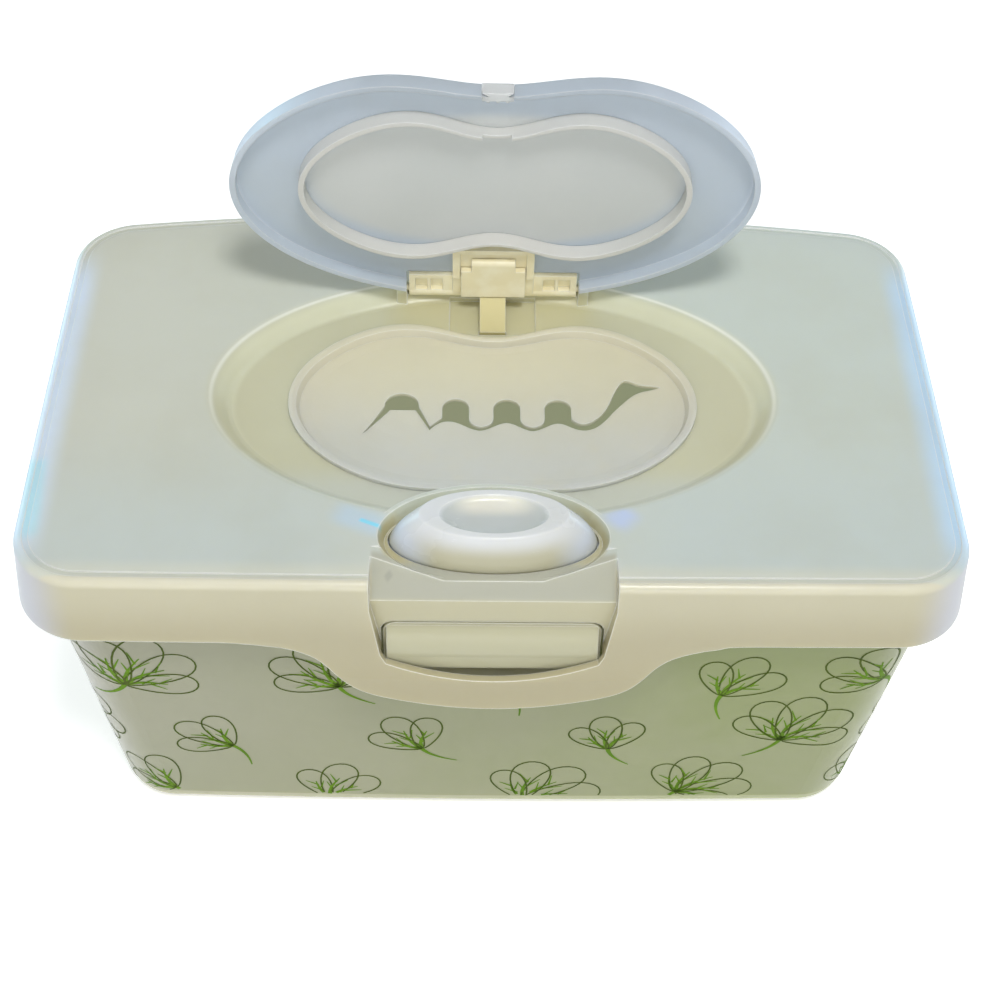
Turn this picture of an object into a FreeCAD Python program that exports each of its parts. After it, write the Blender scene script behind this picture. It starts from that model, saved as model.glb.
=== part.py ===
"""Countertop wipes dispenser: a lidded tub with a pop-up orifice, a sprung flip lid and a latch button.

Millimetres. X runs to the right, Y to the rear, Z up. The origin is the centre of the tub's base.
"""
import FreeCAD, Part
import math
import os

V = FreeCAD.Vector
X_AXIS = V(1, 0, 0)

# Shared clearances
SEAT_GAP = 0.3              # between a piece and what carries it
RUNNING_GAP = 0.05          # radial, pin in its bore, and under a seated flange
OVERRUN = 6.0               # how far every cut runs past its face

# Tub
TUB_TAPER_WIDTH = 15.2      # how much narrower the base is than the waist
TUB_TAPER_DEPTH = 17.1
SKIRT_GAP_SIDE = 4.9        # between the lid's skirt and the waist
SKIRT_GAP_FRONT = 3.45
SKIRT_GAP_CORNER = 1.7
TUB_BOW = 1.3
TUB_WALL = 1.6
TUB_FLOOR = 1.8
TUB_FOOT_RADIUS = 4.6

# Printed film on the tub
WRAP_FILM = 0.25
WRAP_LOW_MARGIN = 0.9       # above the rounded foot
WRAP_HIGH_MARGIN = 1.3      # below the lid's skirt
WRAP_LIFT = 0.04

# Alcove in the tub's front wall, behind the thumb recess
ALCOVE_SIDE_GAP = 0.7       # outside the walls of the thumb recess
ALCOVE_RISE = 2.0           # floor above the apron's lowest edge
ALCOVE_SIDE_RISE = 5.0      # the alcove has its full width from here up
ALCOVE_COVER = 4.7          # its walls reach this far above the skirt's edge
SHELF_THICKNESS = 3.0

# Latch tongue
TONGUE_HALF_WIDTH = 25.0
TONGUE_THICKNESS = 1.8
TONGUE_STEP = 2.0           # root above the alcove's floor
TONGUE_TOP_GAP = 0.5        # below the top of the window
TONGUE_FLEX_ROOM = 3.7      # behind the tongue
TONGUE_CORNER = 3.0
BAR_END_INSET = 0.8
BAR_REACH = 2.9             # how far the bar stands out of the tongue
BAR_TOP_DROP = 0.9          # below the tongue's top
BAR_CROWN = 8.0             # height of the bar's rounded top
BAR_FACE = 4.6              # height of its flat face
BAR_UNDER_ROUND = 1.0

# Main lid
LID_WIDTH = 220.0
LID_CORNER_RADIUS = 17.5
LID_SIDE_BOW = 0.3
LID_FRONT_BOW = 0.5
LID_REAR_BOW = 8.5
LID_TOP_Z = 104.0
LID_WALL = 1.8
LID_SKIRT = 18.7
LID_DRAFT = 1.7             # how far the skirt leans in on its way up
LID_EDGE_ROUND = 2.0
LID_INNER_ROUND = 0.6
GROOVE_INSET = 2.6          # inside the edge of the top
GROOVE_WIDTH = 1.4
GROOVE_DEPTH = 0.35

# Apron: the part of the skirt that hangs lower round the thumb recess
APRON_HALF_WIDTH = 62.6
APRON_BULGE = 3.0
APRON_DROP = 39.0           # lowest edge below the plateau
APRON_FULL_DROP = 29.0      # the bulge is full from here down
APRON_FADE_DROP = 4.0
APRON_EDGE_SHARES = ((0.16, 0.0), (0.34, 0.1), (0.51, 0.31), (0.65, 0.78), (0.83, 0.95), (1.0, 1.0))

# Dispensing recess in the top of the main lid
RECESS_CENTRE_Y = 0.5
RECESS_HALF_LENGTH = 68.2
RECESS_HALF_DEPTH = 41.8
RECESS_DROP = 4.4
RECESS_SLOPE = 3.6          # how far the foot of the slope lies inside its top
RECESS_FLARE = 1.5
RECESS_SIDE_SHARES = ((0.0, 0.12), (0.45, 0.5), (0.85, 0.88))
PAN_WALL = 1.8

# Pop-up insert
INSERT_MARGIN = 18.2        # from the end of the insert to the end of the recess
INSERT_TO_CHANNEL = 2.34    # from the insert's rear dip to the strap channel
INSERT_REAR_DIP_SHARE = 0.31
INSERT_FRONT_DIP_SHARE = 0.1
INSERT_DIP_WIDTH = 18.3
INSERT_RISE = 1.2           # border above the recess floor
INSERT_DISH = 3.5           # depth of the dish at the slit
INSERT_BORDER = 0.9         # flat border, then a rounded crest and a steep step of the same width
INSERT_CREST_SHARE = 0.06
INSERT_STEP_SHARE = 0.54
INSERT_DISH_SHARES = ((0.13, 0.68), (0.44, 0.84), (0.72, 0.95), (1.0, 1.0))
INSERT_DISH_FLAT = 8.7      # half depth left flat in the middle of the dish
INSERT_SKIN = 1.0
INSERT_NECK_INSET = 1.6
INSERT_NECK_WALL = 1.5
INSERT_NECK_DEPTH = 4.9
INSERT_BEAD = 1.1
FRAME_THICKNESS = 1.8
FRAME_OVERLAP = 1.6

# Slit in the insert: round lobes joined by narrow valleys, with a tail at each end.
# All of it in shares of the insert's half length.
LOBE_COUNT = 3
LOBE_PITCH_SHARE = 0.252
LOBE_RADIUS_SHARE = 0.066
LOBE_FIRST_X_SHARE = -0.182
LOBE_TOP_Y_SHARE = 0.088
VALLEY_Y_SHARE = -0.104
SLIT_GAP_SHARE = 0.028
TAB_RISE_SHARE = 0.054      # how far the soft tab under each lobe still stands up
END_LOBE_X_SHARE = -0.448
END_LOBE_RADIUS_SHARE = 0.084
END_LOBE_TOP_Y_SHARE = 0.122
END_LOBE_BASE_Y_SHARE = 0.032
LEFT_TIP_SHARES = (-0.634, -0.174)
RIGHT_TAIL_UPPER_SHARES = ((0.456, -0.076), (0.51, -0.042), (0.56, 0.024), (0.626, 0.178), (0.662, 0.218),
                           (0.722, 0.192), (0.784, 0.176))
RIGHT_TIP_SHARES = (0.834, 0.162)
RIGHT_TAIL_LOWER_SHARES = ((0.788, 0.146), (0.732, 0.132), (0.648, 0.064), (0.592, -0.004), (0.536, -0.078),
                           (0.488, -0.116), (0.422, -0.122))

# Button well and collar
WELL_INSET = 16.5           # centre of the well behind the lid's front
WELL_HALF_LENGTH = 26.4
WELL_HALF_DEPTH = 15.0
WELL_DROP = 3.8
WELL_FLOOR_SHIFT = 1.1
WELL_FLOOR_END_INSET = 1.4
WELL_FLOOR_SIDE_INSET = 3.2
COLLAR_WALL = 1.0
WELL_FLOOR = 1.6

# Thumb recess
THUMB_WIDEN = 2.8           # half width of the recess beyond the tongue's
THUMB_LOW_WIDEN = 0.6
THUMB_SIDE_NARROW = 0.6
THUMB_BACK_INSET = 3.0      # back wall behind the lid's front
THUMB_FACET_RUN = 7.0       # from the back wall to the horns
THUMB_CHANNEL_RUN = 3.0     # on from the horns under the well
THUMB_CREASE_DROP = 7.0     # heights of the recess below the plateau
THUMB_TAPER_DROP = 8.0
THUMB_LOW_DROP = 21.5
THUMB_SIDE_DROP = 24.0
THUMB_LIP_DROP = 29.0
THUMB_WALL = 1.7
THUMB_FLAT_HALF_WIDTH = 11.2
WINDOW_SIDE_GAP = 0.5
WINDOW_DROP = 14.4
WINDOW_CORNER = 3.0

# Button
BUTTON_SHIFT = 1.9          # centre of the button behind the centre of the well
BUTTON_END_INSET = 2.6      # inside the well
BUTTON_SIDE_INSET = 5.2
BUTTON_END_DRAW = 6.9       # how much smaller the top is
BUTTON_SIDE_DRAW = 2.3
BUTTON_RISE = 9.1           # top rim above the well floor
BUTTON_SIDE_SHARES = ((0.0, 0.0), (0.5, 0.35), (0.83, 0.77), (1.0, 1.0))
BUTTON_TOP_ROUND = 0.5
BUTTON_DISH = 1.5
BUTTON_DISH_END_INSET = 4.4   # inside the top
BUTTON_DISH_SIDE_INSET = 1.6
BUTTON_DISH_SHARES = ((1.1, -0.5), (1.0, 0.0), (0.93, 0.38), (0.8, 0.72), (0.6, 0.93), (0.36, 0.99),
                      (0.14, 1.0))
BUTTON_WALL = 1.5
BUTTON_HOLE_GAP = 0.4
BUTTON_FLANGE = 1.3
BUTTON_FLANGE_THICKNESS = 1.7
BUTTON_TRAVEL = 2.5
BUTTON_STEM_RADIUS = 2.2

# Latch slider, fins and spring
SLIDER_TRAVEL = 1.4
SLIDER_THICKNESS = 1.4
SLIDER_HALF_WIDTH = 16.0
SLIDER_FRONT_RUN = 6.4      # in front of the button's centre
SLIDER_REAR_RUN = 7.0
HOOK_HALF_WIDTH = 2.8
HOOK_THICKNESS = 1.8
HOOK_DROP = 2.0             # below the plateau
FIN_INSET = 4.0             # inside the slider's ends
FIN_WIDTH = 1.6
FIN_DEPTH = 3.0
FIN_SIDE_GAP = 0.15
SPRING_RADIUS = 3.5
SPRING_WIRE_RADIUS = 0.4
SPRING_TURNS = 7

# Retainer under the button
RETAINER_THICKNESS = 1.6
RETAINER_FIN_GAP = 1.0      # under the fins of the pressed button
RETAINER_EDGE = 3.2         # outside the stakes
RETAINER_FRONT_EDGE = 0.5   # in front of the slider
RETAINER_REAR_EDGE = 2.8    # behind the rear stakes
RETAINER_CORNER = 3.0
BOSS_GAP = 0.9              # inside the spring
BOSS_HEIGHT = 2.4
RAIL_WIDTH = 1.2
STAKE_RADIUS = 1.5
STAKE_COLLAR = 0.5
STAKE_SIDE_OUT = 6.8        # outside the button
STAKE_SIDE_SHIFT = 0.6
STAKE_REAR_INSET = 3.0      # inside the slider's ends
STAKE_REAR_SHIFT = 11.6

# Flip lid, sizes in its closed place
FLIP_OPEN_ANGLE = 83.0
FLIP_AXIS_INSET = 3.8       # inside the rear of the recess
FLIP_END_GAP = 4.6          # to the end of the recess
FLIP_SIDE_GAP = 3.8
FLIP_AXIS_OUT = 0.3         # hinge axis behind the lid's rear edge
FLIP_TO_COLLAR = 0.6
FLIP_DIP_SHARE = 0.208
FLIP_DIP_WIDTH = 22.6
FLIP_TOP = 0.6              # outer face above the hinge axis
FLIP_PANEL = 1.4
FLIP_RIM_WALL = 1.5
FLIP_RIM_CLEAR = 0.35       # rim above the recess floor
FLIP_DRAFT = 0.5
RING_END_INSET = 2.8        # inside the insert
RING_SIDE_INSET = 5.7
RING_DIP_SHARE = 0.335
RING_DIP_WIDTH = 16.0
RING_WALL = 1.4
RING_HEIGHT = 3.9
RING_NOTCH_HALF_WIDTH = 3.4
RING_NOTCH_DEPTH = 1.2
LUG_HALF_WIDTH = 3.65
LUG_THICKNESS = 2.3
LUG_RIDGE_RADIUS = 0.45
LUG_RIDGE_COUNT = 3
LUG_RIDGE_PITCH = 2.2

# Flip hinge, distances from the hinge axis
CARRIER_HALF_WIDTH = 21.4
BARREL_RADIUS = 2.0
ARM_REACH = 6.6
ARM_UNDER = 1.8
CELL_COUNT = 2
CELL_START = 2.5            # outside the housing
CELL_PITCH = 3.9
CELL_WIDTH = 3.1
CELL_NEAR = 1.1
CELL_FAR = 5.3
CELL_ROOF = 0.9
HOUSING_HALF_WIDTH = 10.3
HOUSING_NEAR = 0.4
HOUSING_FAR = 16.9
HOUSING_UNDER = 2.1
HOUSING_RIDGE = 1.3
HOUSING_RIDGE_UNDER = 3.0
CLIP_END_INSET = 2.2        # inside the housing
CLIP_NEAR = 0.9
CLIP_FAR = 10.2
CLIP_UNDER = 4.0
CLIP_BUMP_INSET = 2.6
CLIP_BUMP_FAR = 13.4
CLIP_BUMP_ROUND = 1.2
FLIP_PIN_RADIUS = 0.8
FLIP_PIN_DEPTH = 2.8        # in the arm
SOCKET_GAP = 0.6
SOCKET_WIDTH = 2.6
SWEEP_GAP = 0.4

# Strap channel in the main lid
CHANNEL_SIDE_GAP = 0.7      # outside the housing
CHANNEL_RUN = 13.1          # in front of the hinge axis
CHANNEL_DROP = 0.7          # below the recess floor
STRAP_HALF_WIDTH = 3.3
STRAP_THICKNESS = 1.3
STRAP_FOOT_GAP = 0.5        # behind the front of the channel
STRAP_FOOT_DEPTH = 3.0      # below the channel floor
STRAP_BEND = 0.5            # height of the bend above the channel floor
ANCHOR_EDGE = 2.3
ANCHOR_DEPTH = 5.0
ANCHOR_HEIGHT = 3.6
ANCHOR_FLOOR = 1.2

# Rear hinge
REAR_AXIS_OUT = 5.75        # behind the tub's waist
REAR_AXIS_RISE = 2.7        # above the skirt's edge
REAR_HINGE_X_SHARE = 0.418  # of the lid's half width
REAR_PIN_RADIUS = 2.0
REAR_PIN_HEAD = 0.8
KNUCKLE_RADIUS = 3.8
KNUCKLE_LENGTH = 9.4
EAR_RADIUS = 3.4
EAR_THICKNESS = 3.0
EAR_NECK_UNDER = 2.2

# Ribs under the main lid
RIB_WALL = 1.2
RIB_DEPTH = 6.0
RIB_GAP = 0.7
SIDE_RIB_MARGIN = 23.75     # from its end to the tub's front
FRONT_RIB_START = 5.8       # outside the alcove
FRONT_RIB_MARGIN = 21.1     # from its end to the tub's side

OUTLINE_SAMPLES = 48

# Top of the main lid
recess_floor_z = LID_TOP_Z - RECESS_DROP
well_floor_z = LID_TOP_Z - WELL_DROP
lid_ceiling_z = LID_TOP_Z - LID_WALL
skirt_z = LID_TOP_Z - LID_SKIRT
rim_z = lid_ceiling_z - SEAT_GAP
apron_low_z = LID_TOP_Z - APRON_DROP
below_lid_z = apron_low_z - OVERRUN
insert_top_z = recess_floor_z + INSERT_RISE
frame_top_z = recess_floor_z - PAN_WALL - RUNNING_GAP
channel_floor_z = recess_floor_z - CHANNEL_DROP

# Flip lid and its hinge over the recess
flip_axis_y = RECESS_CENTRE_Y + RECESS_HALF_DEPTH - FLIP_AXIS_INSET
flip_half_length = RECESS_HALF_LENGTH - FLIP_END_GAP
flip_half_depth = RECESS_HALF_DEPTH - FLIP_SIDE_GAP
flip_reach = flip_half_depth + FLIP_AXIS_OUT
flip_front_y = flip_axis_y - flip_reach - flip_half_depth * (1 - FLIP_DIP_SHARE)
flip_inner_z = LID_TOP_Z + FLIP_TOP - FLIP_PANEL
flip_rim_z = recess_floor_z + FLIP_RIM_CLEAR
lug_low_z = insert_top_z + SEAT_GAP
channel_half_width = HOUSING_HALF_WIDTH + CHANNEL_SIDE_GAP
channel_front_y = flip_axis_y - CHANNEL_RUN
strap_foot_y = channel_front_y + STRAP_FOOT_GAP
clip_half_width = HOUSING_HALF_WIDTH - CLIP_END_INSET
clip_bump_half_width = clip_half_width - CLIP_BUMP_INSET
anchor_half_width = STRAP_HALF_WIDTH + ANCHOR_EDGE

# Insert and seal ring
insert_half_length = RECESS_HALF_LENGTH - INSERT_MARGIN
insert_half_depth = (channel_front_y - INSERT_TO_CHANNEL - RECESS_CENTRE_Y) / (1 - INSERT_REAR_DIP_SHARE)
ring_half_length = insert_half_length - RING_END_INSET
ring_half_depth = insert_half_depth - RING_SIDE_INSET

# Well, button and latch, from the front edge of the closed flip lid forwards
collar_back_y = flip_front_y - FLIP_TO_COLLAR
well_centre_y = collar_back_y - COLLAR_WALL - WELL_HALF_DEPTH
button_centre_y = well_centre_y + BUTTON_SHIFT
button_half_length = WELL_HALF_LENGTH - BUTTON_END_INSET
button_half_depth = WELL_HALF_DEPTH - BUTTON_SIDE_INSET
button_top_half_length = button_half_length - BUTTON_END_DRAW
button_top_half_depth = button_half_depth - BUTTON_SIDE_DRAW
button_ceiling_z = well_floor_z + BUTTON_RISE - BUTTON_DISH - BUTTON_WALL
flange_top_z = well_floor_z - WELL_FLOOR - SEAT_GAP
flange_low_z = flange_top_z - BUTTON_FLANGE_THICKNESS
slider_top_z = flange_low_z - BUTTON_TRAVEL - SEAT_GAP
slider_low_z = slider_top_z - SLIDER_THICKNESS
slider_front_y = button_centre_y - SLIDER_FRONT_RUN
slider_rear_y = button_centre_y + SLIDER_REAR_RUN
hook_top_z = LID_TOP_Z - HOOK_DROP
fin_x = SLIDER_HALF_WIDTH - FIN_INSET
retainer_top_z = slider_low_z - SEAT_GAP - BUTTON_TRAVEL - RETAINER_FIN_GAP
stake_side = (button_half_length + STAKE_SIDE_OUT, button_centre_y + STAKE_SIDE_SHIFT)
stake_rear = (SLIDER_HALF_WIDTH - STAKE_REAR_INSET, button_centre_y + STAKE_REAR_SHIFT)
boss_radius = SPRING_RADIUS - SPRING_WIRE_RADIUS - BOSS_GAP

# Thumb recess and tongue, from the lid's front
front_y = well_centre_y - WELL_INSET
lid_depth = -2 * front_y
thumb_back_y = front_y + THUMB_BACK_INSET
thumb_horn_y = thumb_back_y + THUMB_FACET_RUN
thumb_half_width = TONGUE_HALF_WIDTH + THUMB_WIDEN
thumb_crease_z = LID_TOP_Z - THUMB_CREASE_DROP
window_half_width = TONGUE_HALF_WIDTH + WINDOW_SIDE_GAP
window_top_z = LID_TOP_Z - WINDOW_DROP
alcove_half_width = thumb_half_width + THUMB_WALL + ALCOVE_SIDE_GAP
alcove_floor_z = apron_low_z + ALCOVE_RISE
alcove_side_z = alcove_floor_z + ALCOVE_SIDE_RISE
alcove_back_y = thumb_back_y + TONGUE_THICKNESS + TONGUE_FLEX_ROOM
shelf_z = alcove_floor_z - SHELF_THICKNESS
tongue_root_z = alcove_floor_z + TONGUE_STEP
tongue_top_z = window_top_z - TONGUE_TOP_GAP
bar_half_width = TONGUE_HALF_WIDTH - BAR_END_INSET
bar_top_z = tongue_top_z - BAR_TOP_DROP
bar_nose_z = bar_top_z - BAR_CROWN
bar_under_z = bar_nose_z - BAR_FACE

# Tub and rear hinge
tub_waist_width = LID_WIDTH - 2 * (LID_WALL + SKIRT_GAP_SIDE)
tub_waist_depth = lid_depth - 2 * (LID_WALL + SKIRT_GAP_FRONT)
tub_corner_radius = LID_CORNER_RADIUS - LID_WALL - SKIRT_GAP_CORNER
wrap_low = TUB_FOOT_RADIUS + WRAP_LOW_MARGIN
wrap_high = skirt_z - WRAP_HIGH_MARGIN
rear_axis_y = tub_waist_depth / 2 + REAR_AXIS_OUT
rear_axis_z = skirt_z + REAR_AXIS_RISE
rear_hinge_x = LID_WIDTH / 2 * REAR_HINGE_X_SHARE
knuckle_reach = KNUCKLE_LENGTH / 2 + SEAT_GAP + EAR_THICKNESS


# Shape helpers

def bar_box(half_width, y0, y1, z0, z1):
    return Part.makeBox(2 * half_width, y1 - y0, z1 - z0, V(-half_width, y0, z0))


def box(x0, x1, y0, y1, z0, z1):
    return Part.makeBox(x1 - x0, y1 - y0, z1 - z0, V(x0, y0, z0))


def rod(radius, x0, x1, y, z):
    return Part.makeCylinder(radius, x1 - x0, V(x0, y, z), X_AXIS)


def post(radius, spot, z0, z1):
    return Part.makeCylinder(radius, z1 - z0, V(spot[0], spot[1], z0))


def side_profile(points, half_width):
    """Solid with the given outline in Y and Z, centred across X."""
    loop = Part.makePolygon([V(-half_width, y, z) for y, z in points + points[:1]])
    return Part.Face(loop).extrude(V(2 * half_width, 0, 0))


def ellipse(half_length, half_depth, centre_y, z):
    return Part.Wire(Part.Ellipse(V(0, centre_y, z), half_length, half_depth).toShape())


def smooth_loft(wires):
    return Part.makeLoft(wires, True, False)


def straight_loft(wires):
    return Part.makeLoft(wires, True, True)


def prism(wire, height):
    return Part.Face(wire).extrude(V(0, 0, height))


def fuse_all(shapes):
    body = shapes[0]
    for shape in shapes[1:]:
        body = body.fuse(shape)
    return body


def both_sides(shape):
    return shape.fuse(shape.mirror(V(0, 0, 0), X_AXIS))


def bowed_wire(half_width, half_depth, bows, corner, z):
    """Closed rectangle outline with bowed sides and rounded corners."""
    side_bow, front_bow, rear_bow = bows
    corners = [V(-half_width, -half_depth, z), V(half_width, -half_depth, z),
               V(half_width, half_depth, z), V(-half_width, half_depth, z)]
    crowns = [V(0, -half_depth - front_bow, z), V(half_width + side_bow, 0, z),
              V(0, half_depth + rear_bow, z), V(-half_width - side_bow, 0, z)]
    sides = [Part.Arc(corners[i], crowns[i], corners[(i + 1) % 4]).toShape() for i in range(4)]
    slab = Part.Face(Part.Wire(sides)).extrude(V(0, 0, OVERRUN))
    upright = [e for e in slab.Edges if abs(e.BoundBox.ZLength - OVERRUN) < OVERRUN / 1000]
    rounded = slab.makeFillet(corner, upright)
    return min(rounded.Faces, key=lambda face: face.BoundBox.ZMax).OuterWire


def peanut_wire(half_length, half_depth, centre_y, dips, dip_width, z):
    """Ellipse whose long sides dip in the middle, by the rear and front share."""
    rear_dip, front_dip = dips
    points = []
    for k in range(OUTLINE_SAMPLES):
        turn = 2 * math.pi * k / OUTLINE_SAMPLES
        x = half_length * math.cos(turn)
        dip = rear_dip if math.sin(turn) > 0 else front_dip
        pinch = 1 - dip * math.exp(-(x / dip_width) ** 2)
        points.append(V(x, centre_y + half_depth * math.sin(turn) * pinch, z))
    curve = Part.BSplineCurve()
    curve.interpolate(points, PeriodicFlag=True)
    return Part.Wire(curve.toShape())


def bottom_edges(shape):
    low = shape.BoundBox.ZMin
    return [e for e in shape.Edges if e.BoundBox.ZMax - low < OVERRUN / 1000]


def top_edges(shape):
    high = shape.BoundBox.ZMax
    return [e for e in shape.Edges if high - e.BoundBox.ZMin < OVERRUN / 1000]


# Tub and what rides on it

def tub_wire(inset, z):
    share = min(z, skirt_z) / skirt_z
    width = tub_waist_width - TUB_TAPER_WIDTH * (1 - share)
    depth = tub_waist_depth - TUB_TAPER_DEPTH * (1 - share)
    bows = (TUB_BOW / 2, TUB_BOW, TUB_BOW)
    return bowed_wire(width / 2 - inset, depth / 2 - inset, bows, tub_corner_radius - inset, z)


def tub_block(inset, low, high):
    """Tapered up to the waist and upright above it."""
    lower = straight_loft([tub_wire(inset, low), tub_wire(inset, min(high, skirt_z))])
    if high <= skirt_z:
        return lower
    return lower.fuse(prism(tub_wire(inset, skirt_z), high - skirt_z)).removeSplitter()


def rear_ears():
    """Two pairs of ears that carry the rear hinge pins."""
    ears = []
    for side in (-1, 1):
        for end in (-1, 1):
            near = rear_hinge_x * side + (KNUCKLE_LENGTH / 2 + SEAT_GAP) * end
            far = near + EAR_THICKNESS * end
            x0, x1 = min(near, far), max(near, far)
            eye = rod(EAR_RADIUS, x0, x1, rear_axis_y, rear_axis_z)
            neck = box(x0, x1, tub_waist_depth / 2, rear_axis_y, rear_axis_z - EAR_NECK_UNDER,
                       rear_axis_z + EAR_RADIUS)
            bore = rod(REAR_PIN_RADIUS + RUNNING_GAP, x0, x1, rear_axis_y, rear_axis_z)
            ears.append(eye.fuse(neck).cut(bore))
    return ears


def alcove_room(gap, high_z):
    """Room for the tongue, wider above where the walls of the thumb recess stand."""
    back_y = alcove_back_y + gap
    low = bar_box(TONGUE_HALF_WIDTH + SEAT_GAP + gap, -lid_depth, back_y, alcove_floor_z - gap, high_z)
    high = bar_box(alcove_half_width + gap, -lid_depth, back_y, alcove_side_z - gap, high_z)
    return low.fuse(high)


def make_tub():
    outer = tub_block(0, 0, rim_z)
    outer = outer.makeFillet(TUB_FOOT_RADIUS, bottom_edges(outer))
    inner = tub_block(TUB_WALL, TUB_FLOOR, rim_z + OVERRUN)
    inner = inner.makeFillet(TUB_FOOT_RADIUS - TUB_WALL, bottom_edges(inner))
    alcove_shell = alcove_room(TUB_WALL, skirt_z + ALCOVE_COVER).common(outer)
    shell = outer.cut(inner).fuse(alcove_shell).cut(alcove_room(0, rim_z + OVERRUN))
    shelf = bar_box(TONGUE_HALF_WIDTH, thumb_back_y, alcove_back_y, shelf_z, alcove_floor_z)
    step = bar_box(TONGUE_HALF_WIDTH, thumb_back_y, thumb_back_y + TONGUE_THICKNESS, shelf_z,
                   tongue_root_z - SEAT_GAP)
    return fuse_all([shell, shelf.fuse(step).cut(inner)] + rear_ears())


def make_tub_wrap():
    outside = tub_block(-WRAP_LIFT - WRAP_FILM, wrap_low, wrap_high)
    inside = tub_block(-WRAP_LIFT, wrap_low, wrap_high)
    low = bar_box(TONGUE_HALF_WIDTH + SEAT_GAP, -lid_depth, 0, shelf_z - SEAT_GAP, wrap_high)
    high = bar_box(alcove_half_width, -lid_depth, 0, alcove_side_z, wrap_high)
    return outside.cut(inside).cut(low).cut(high)


def make_rear_pin(side):
    """Pin with a small head at its outer end."""
    centre = rear_hinge_x * side
    shaft = rod(REAR_PIN_RADIUS, centre - knuckle_reach, centre + knuckle_reach, rear_axis_y, rear_axis_z)
    start = centre + (knuckle_reach + RUNNING_GAP) * side
    end = start + REAR_PIN_HEAD * side
    head = rod(EAR_RADIUS - SEAT_GAP, min(start, end), max(start, end), rear_axis_y, rear_axis_z)
    neck = rod(REAR_PIN_RADIUS, min(centre, end), max(centre, end), rear_axis_y, rear_axis_z)
    return fuse_all([shaft, neck, head])


def make_latch_tongue():
    back_y = thumb_back_y + TONGUE_THICKNESS
    plate = bar_box(TONGUE_HALF_WIDTH, thumb_back_y, back_y, tongue_root_z, tongue_top_z)
    corners = [e for e in plate.Edges
               if e.BoundBox.YLength > TONGUE_THICKNESS / 2 and e.BoundBox.ZMin > bar_top_z]
    plate = plate.makeFillet(TONGUE_CORNER, corners)
    nose_y = thumb_back_y - BAR_REACH
    fall = bar_top_z - bar_nose_z
    turn = math.radians(45)
    start = V(-bar_half_width, thumb_back_y, bar_top_z)
    shoulder = V(-bar_half_width, thumb_back_y - BAR_REACH * math.sin(turn),
                 bar_nose_z + fall * math.cos(turn))
    nose = V(-bar_half_width, nose_y, bar_nose_z)
    chin = V(-bar_half_width, nose_y, bar_under_z)
    heel = V(-bar_half_width, thumb_back_y, bar_under_z)
    edges = [Part.Arc(start, shoulder, nose).toShape(), Part.makeLine(nose, chin),
             Part.makeLine(chin, heel), Part.makeLine(heel, start)]
    bar = Part.Face(Part.Wire(edges)).extrude(V(2 * bar_half_width, 0, 0))
    under = [e for e in bottom_edges(bar) if e.BoundBox.YMax < thumb_back_y - BAR_REACH / 2]
    return plate.fuse(bar.makeFillet(BAR_UNDER_ROUND, under)).removeSplitter()


# Main lid

def lid_wire(inset, z):
    bows = (LID_SIDE_BOW, LID_FRONT_BOW, LID_REAR_BOW)
    return bowed_wire(LID_WIDTH / 2 - inset, lid_depth / 2 - inset, bows, LID_CORNER_RADIUS - inset, z)


def lid_draft(z):
    """How far the skirt has leaned in at this height."""
    return LID_DRAFT * max(z - skirt_z, 0) / LID_SKIRT


def lid_block(inset, high_z, edge_round):
    """Upright below the skirt's edge, leaning in above it, with a rounded top edge."""
    wires = [lid_wire(inset + lid_draft(z), z) for z in (below_lid_z, skirt_z, high_z)]
    block = straight_loft(wires)
    return block.makeFillet(edge_round, top_edges(block))


def apron_block(inset):
    """Front of the skirt, bulging more the lower it hangs."""
    sections = []
    bulges = ((LID_FRONT_BOW, LID_TOP_Z - APRON_FADE_DROP), (APRON_BULGE, LID_TOP_Z - APRON_FULL_DROP),
              (APRON_BULGE, below_lid_z))
    for bulge, z in bulges:
        outside_y = front_y + inset + lid_draft(z)
        inside_y = outside_y + LID_WALL
        ends = [V(-APRON_HALF_WIDTH, outside_y, z), V(APRON_HALF_WIDTH, outside_y, z),
                V(APRON_HALF_WIDTH, inside_y, z), V(-APRON_HALF_WIDTH, inside_y, z)]
        front = Part.Arc(ends[0], V(0, outside_y - bulge, z), ends[1]).toShape()
        sections.append(Part.Wire([front] + [Part.makeLine(ends[i], ends[(i + 1) % 4]) for i in (1, 2, 3)]))
    return straight_loft(sections)


def below_skirt():
    """Everything under the skirt's lower edge."""
    drop = skirt_z - apron_low_z
    right = [V(x * APRON_HALF_WIDTH, -lid_depth, apron_low_z + rise * drop) for x, rise in APRON_EDGE_SHARES]
    left = [V(-p.x, p.y, p.z) for p in reversed(right)]
    level = V(1, 0, 0)
    curve = Part.BSplineCurve()
    curve.interpolate(left + right, InitialTangent=level, FinalTangent=level)
    floor_z = below_lid_z - OVERRUN
    corners = [right[-1], V(LID_WIDTH, -lid_depth, skirt_z), V(LID_WIDTH, -lid_depth, floor_z),
               V(-LID_WIDTH, -lid_depth, floor_z), V(-LID_WIDTH, -lid_depth, skirt_z), left[0]]
    lines = [Part.makeLine(corners[i], corners[i + 1]) for i in range(len(corners) - 1)]
    front = Part.Face(Part.Wire([curve.toShape()] + lines)).extrude(V(0, lid_depth, 0))
    return front.fuse(bar_box(LID_WIDTH, -OVERRUN, lid_depth, floor_z, skirt_z))


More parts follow.
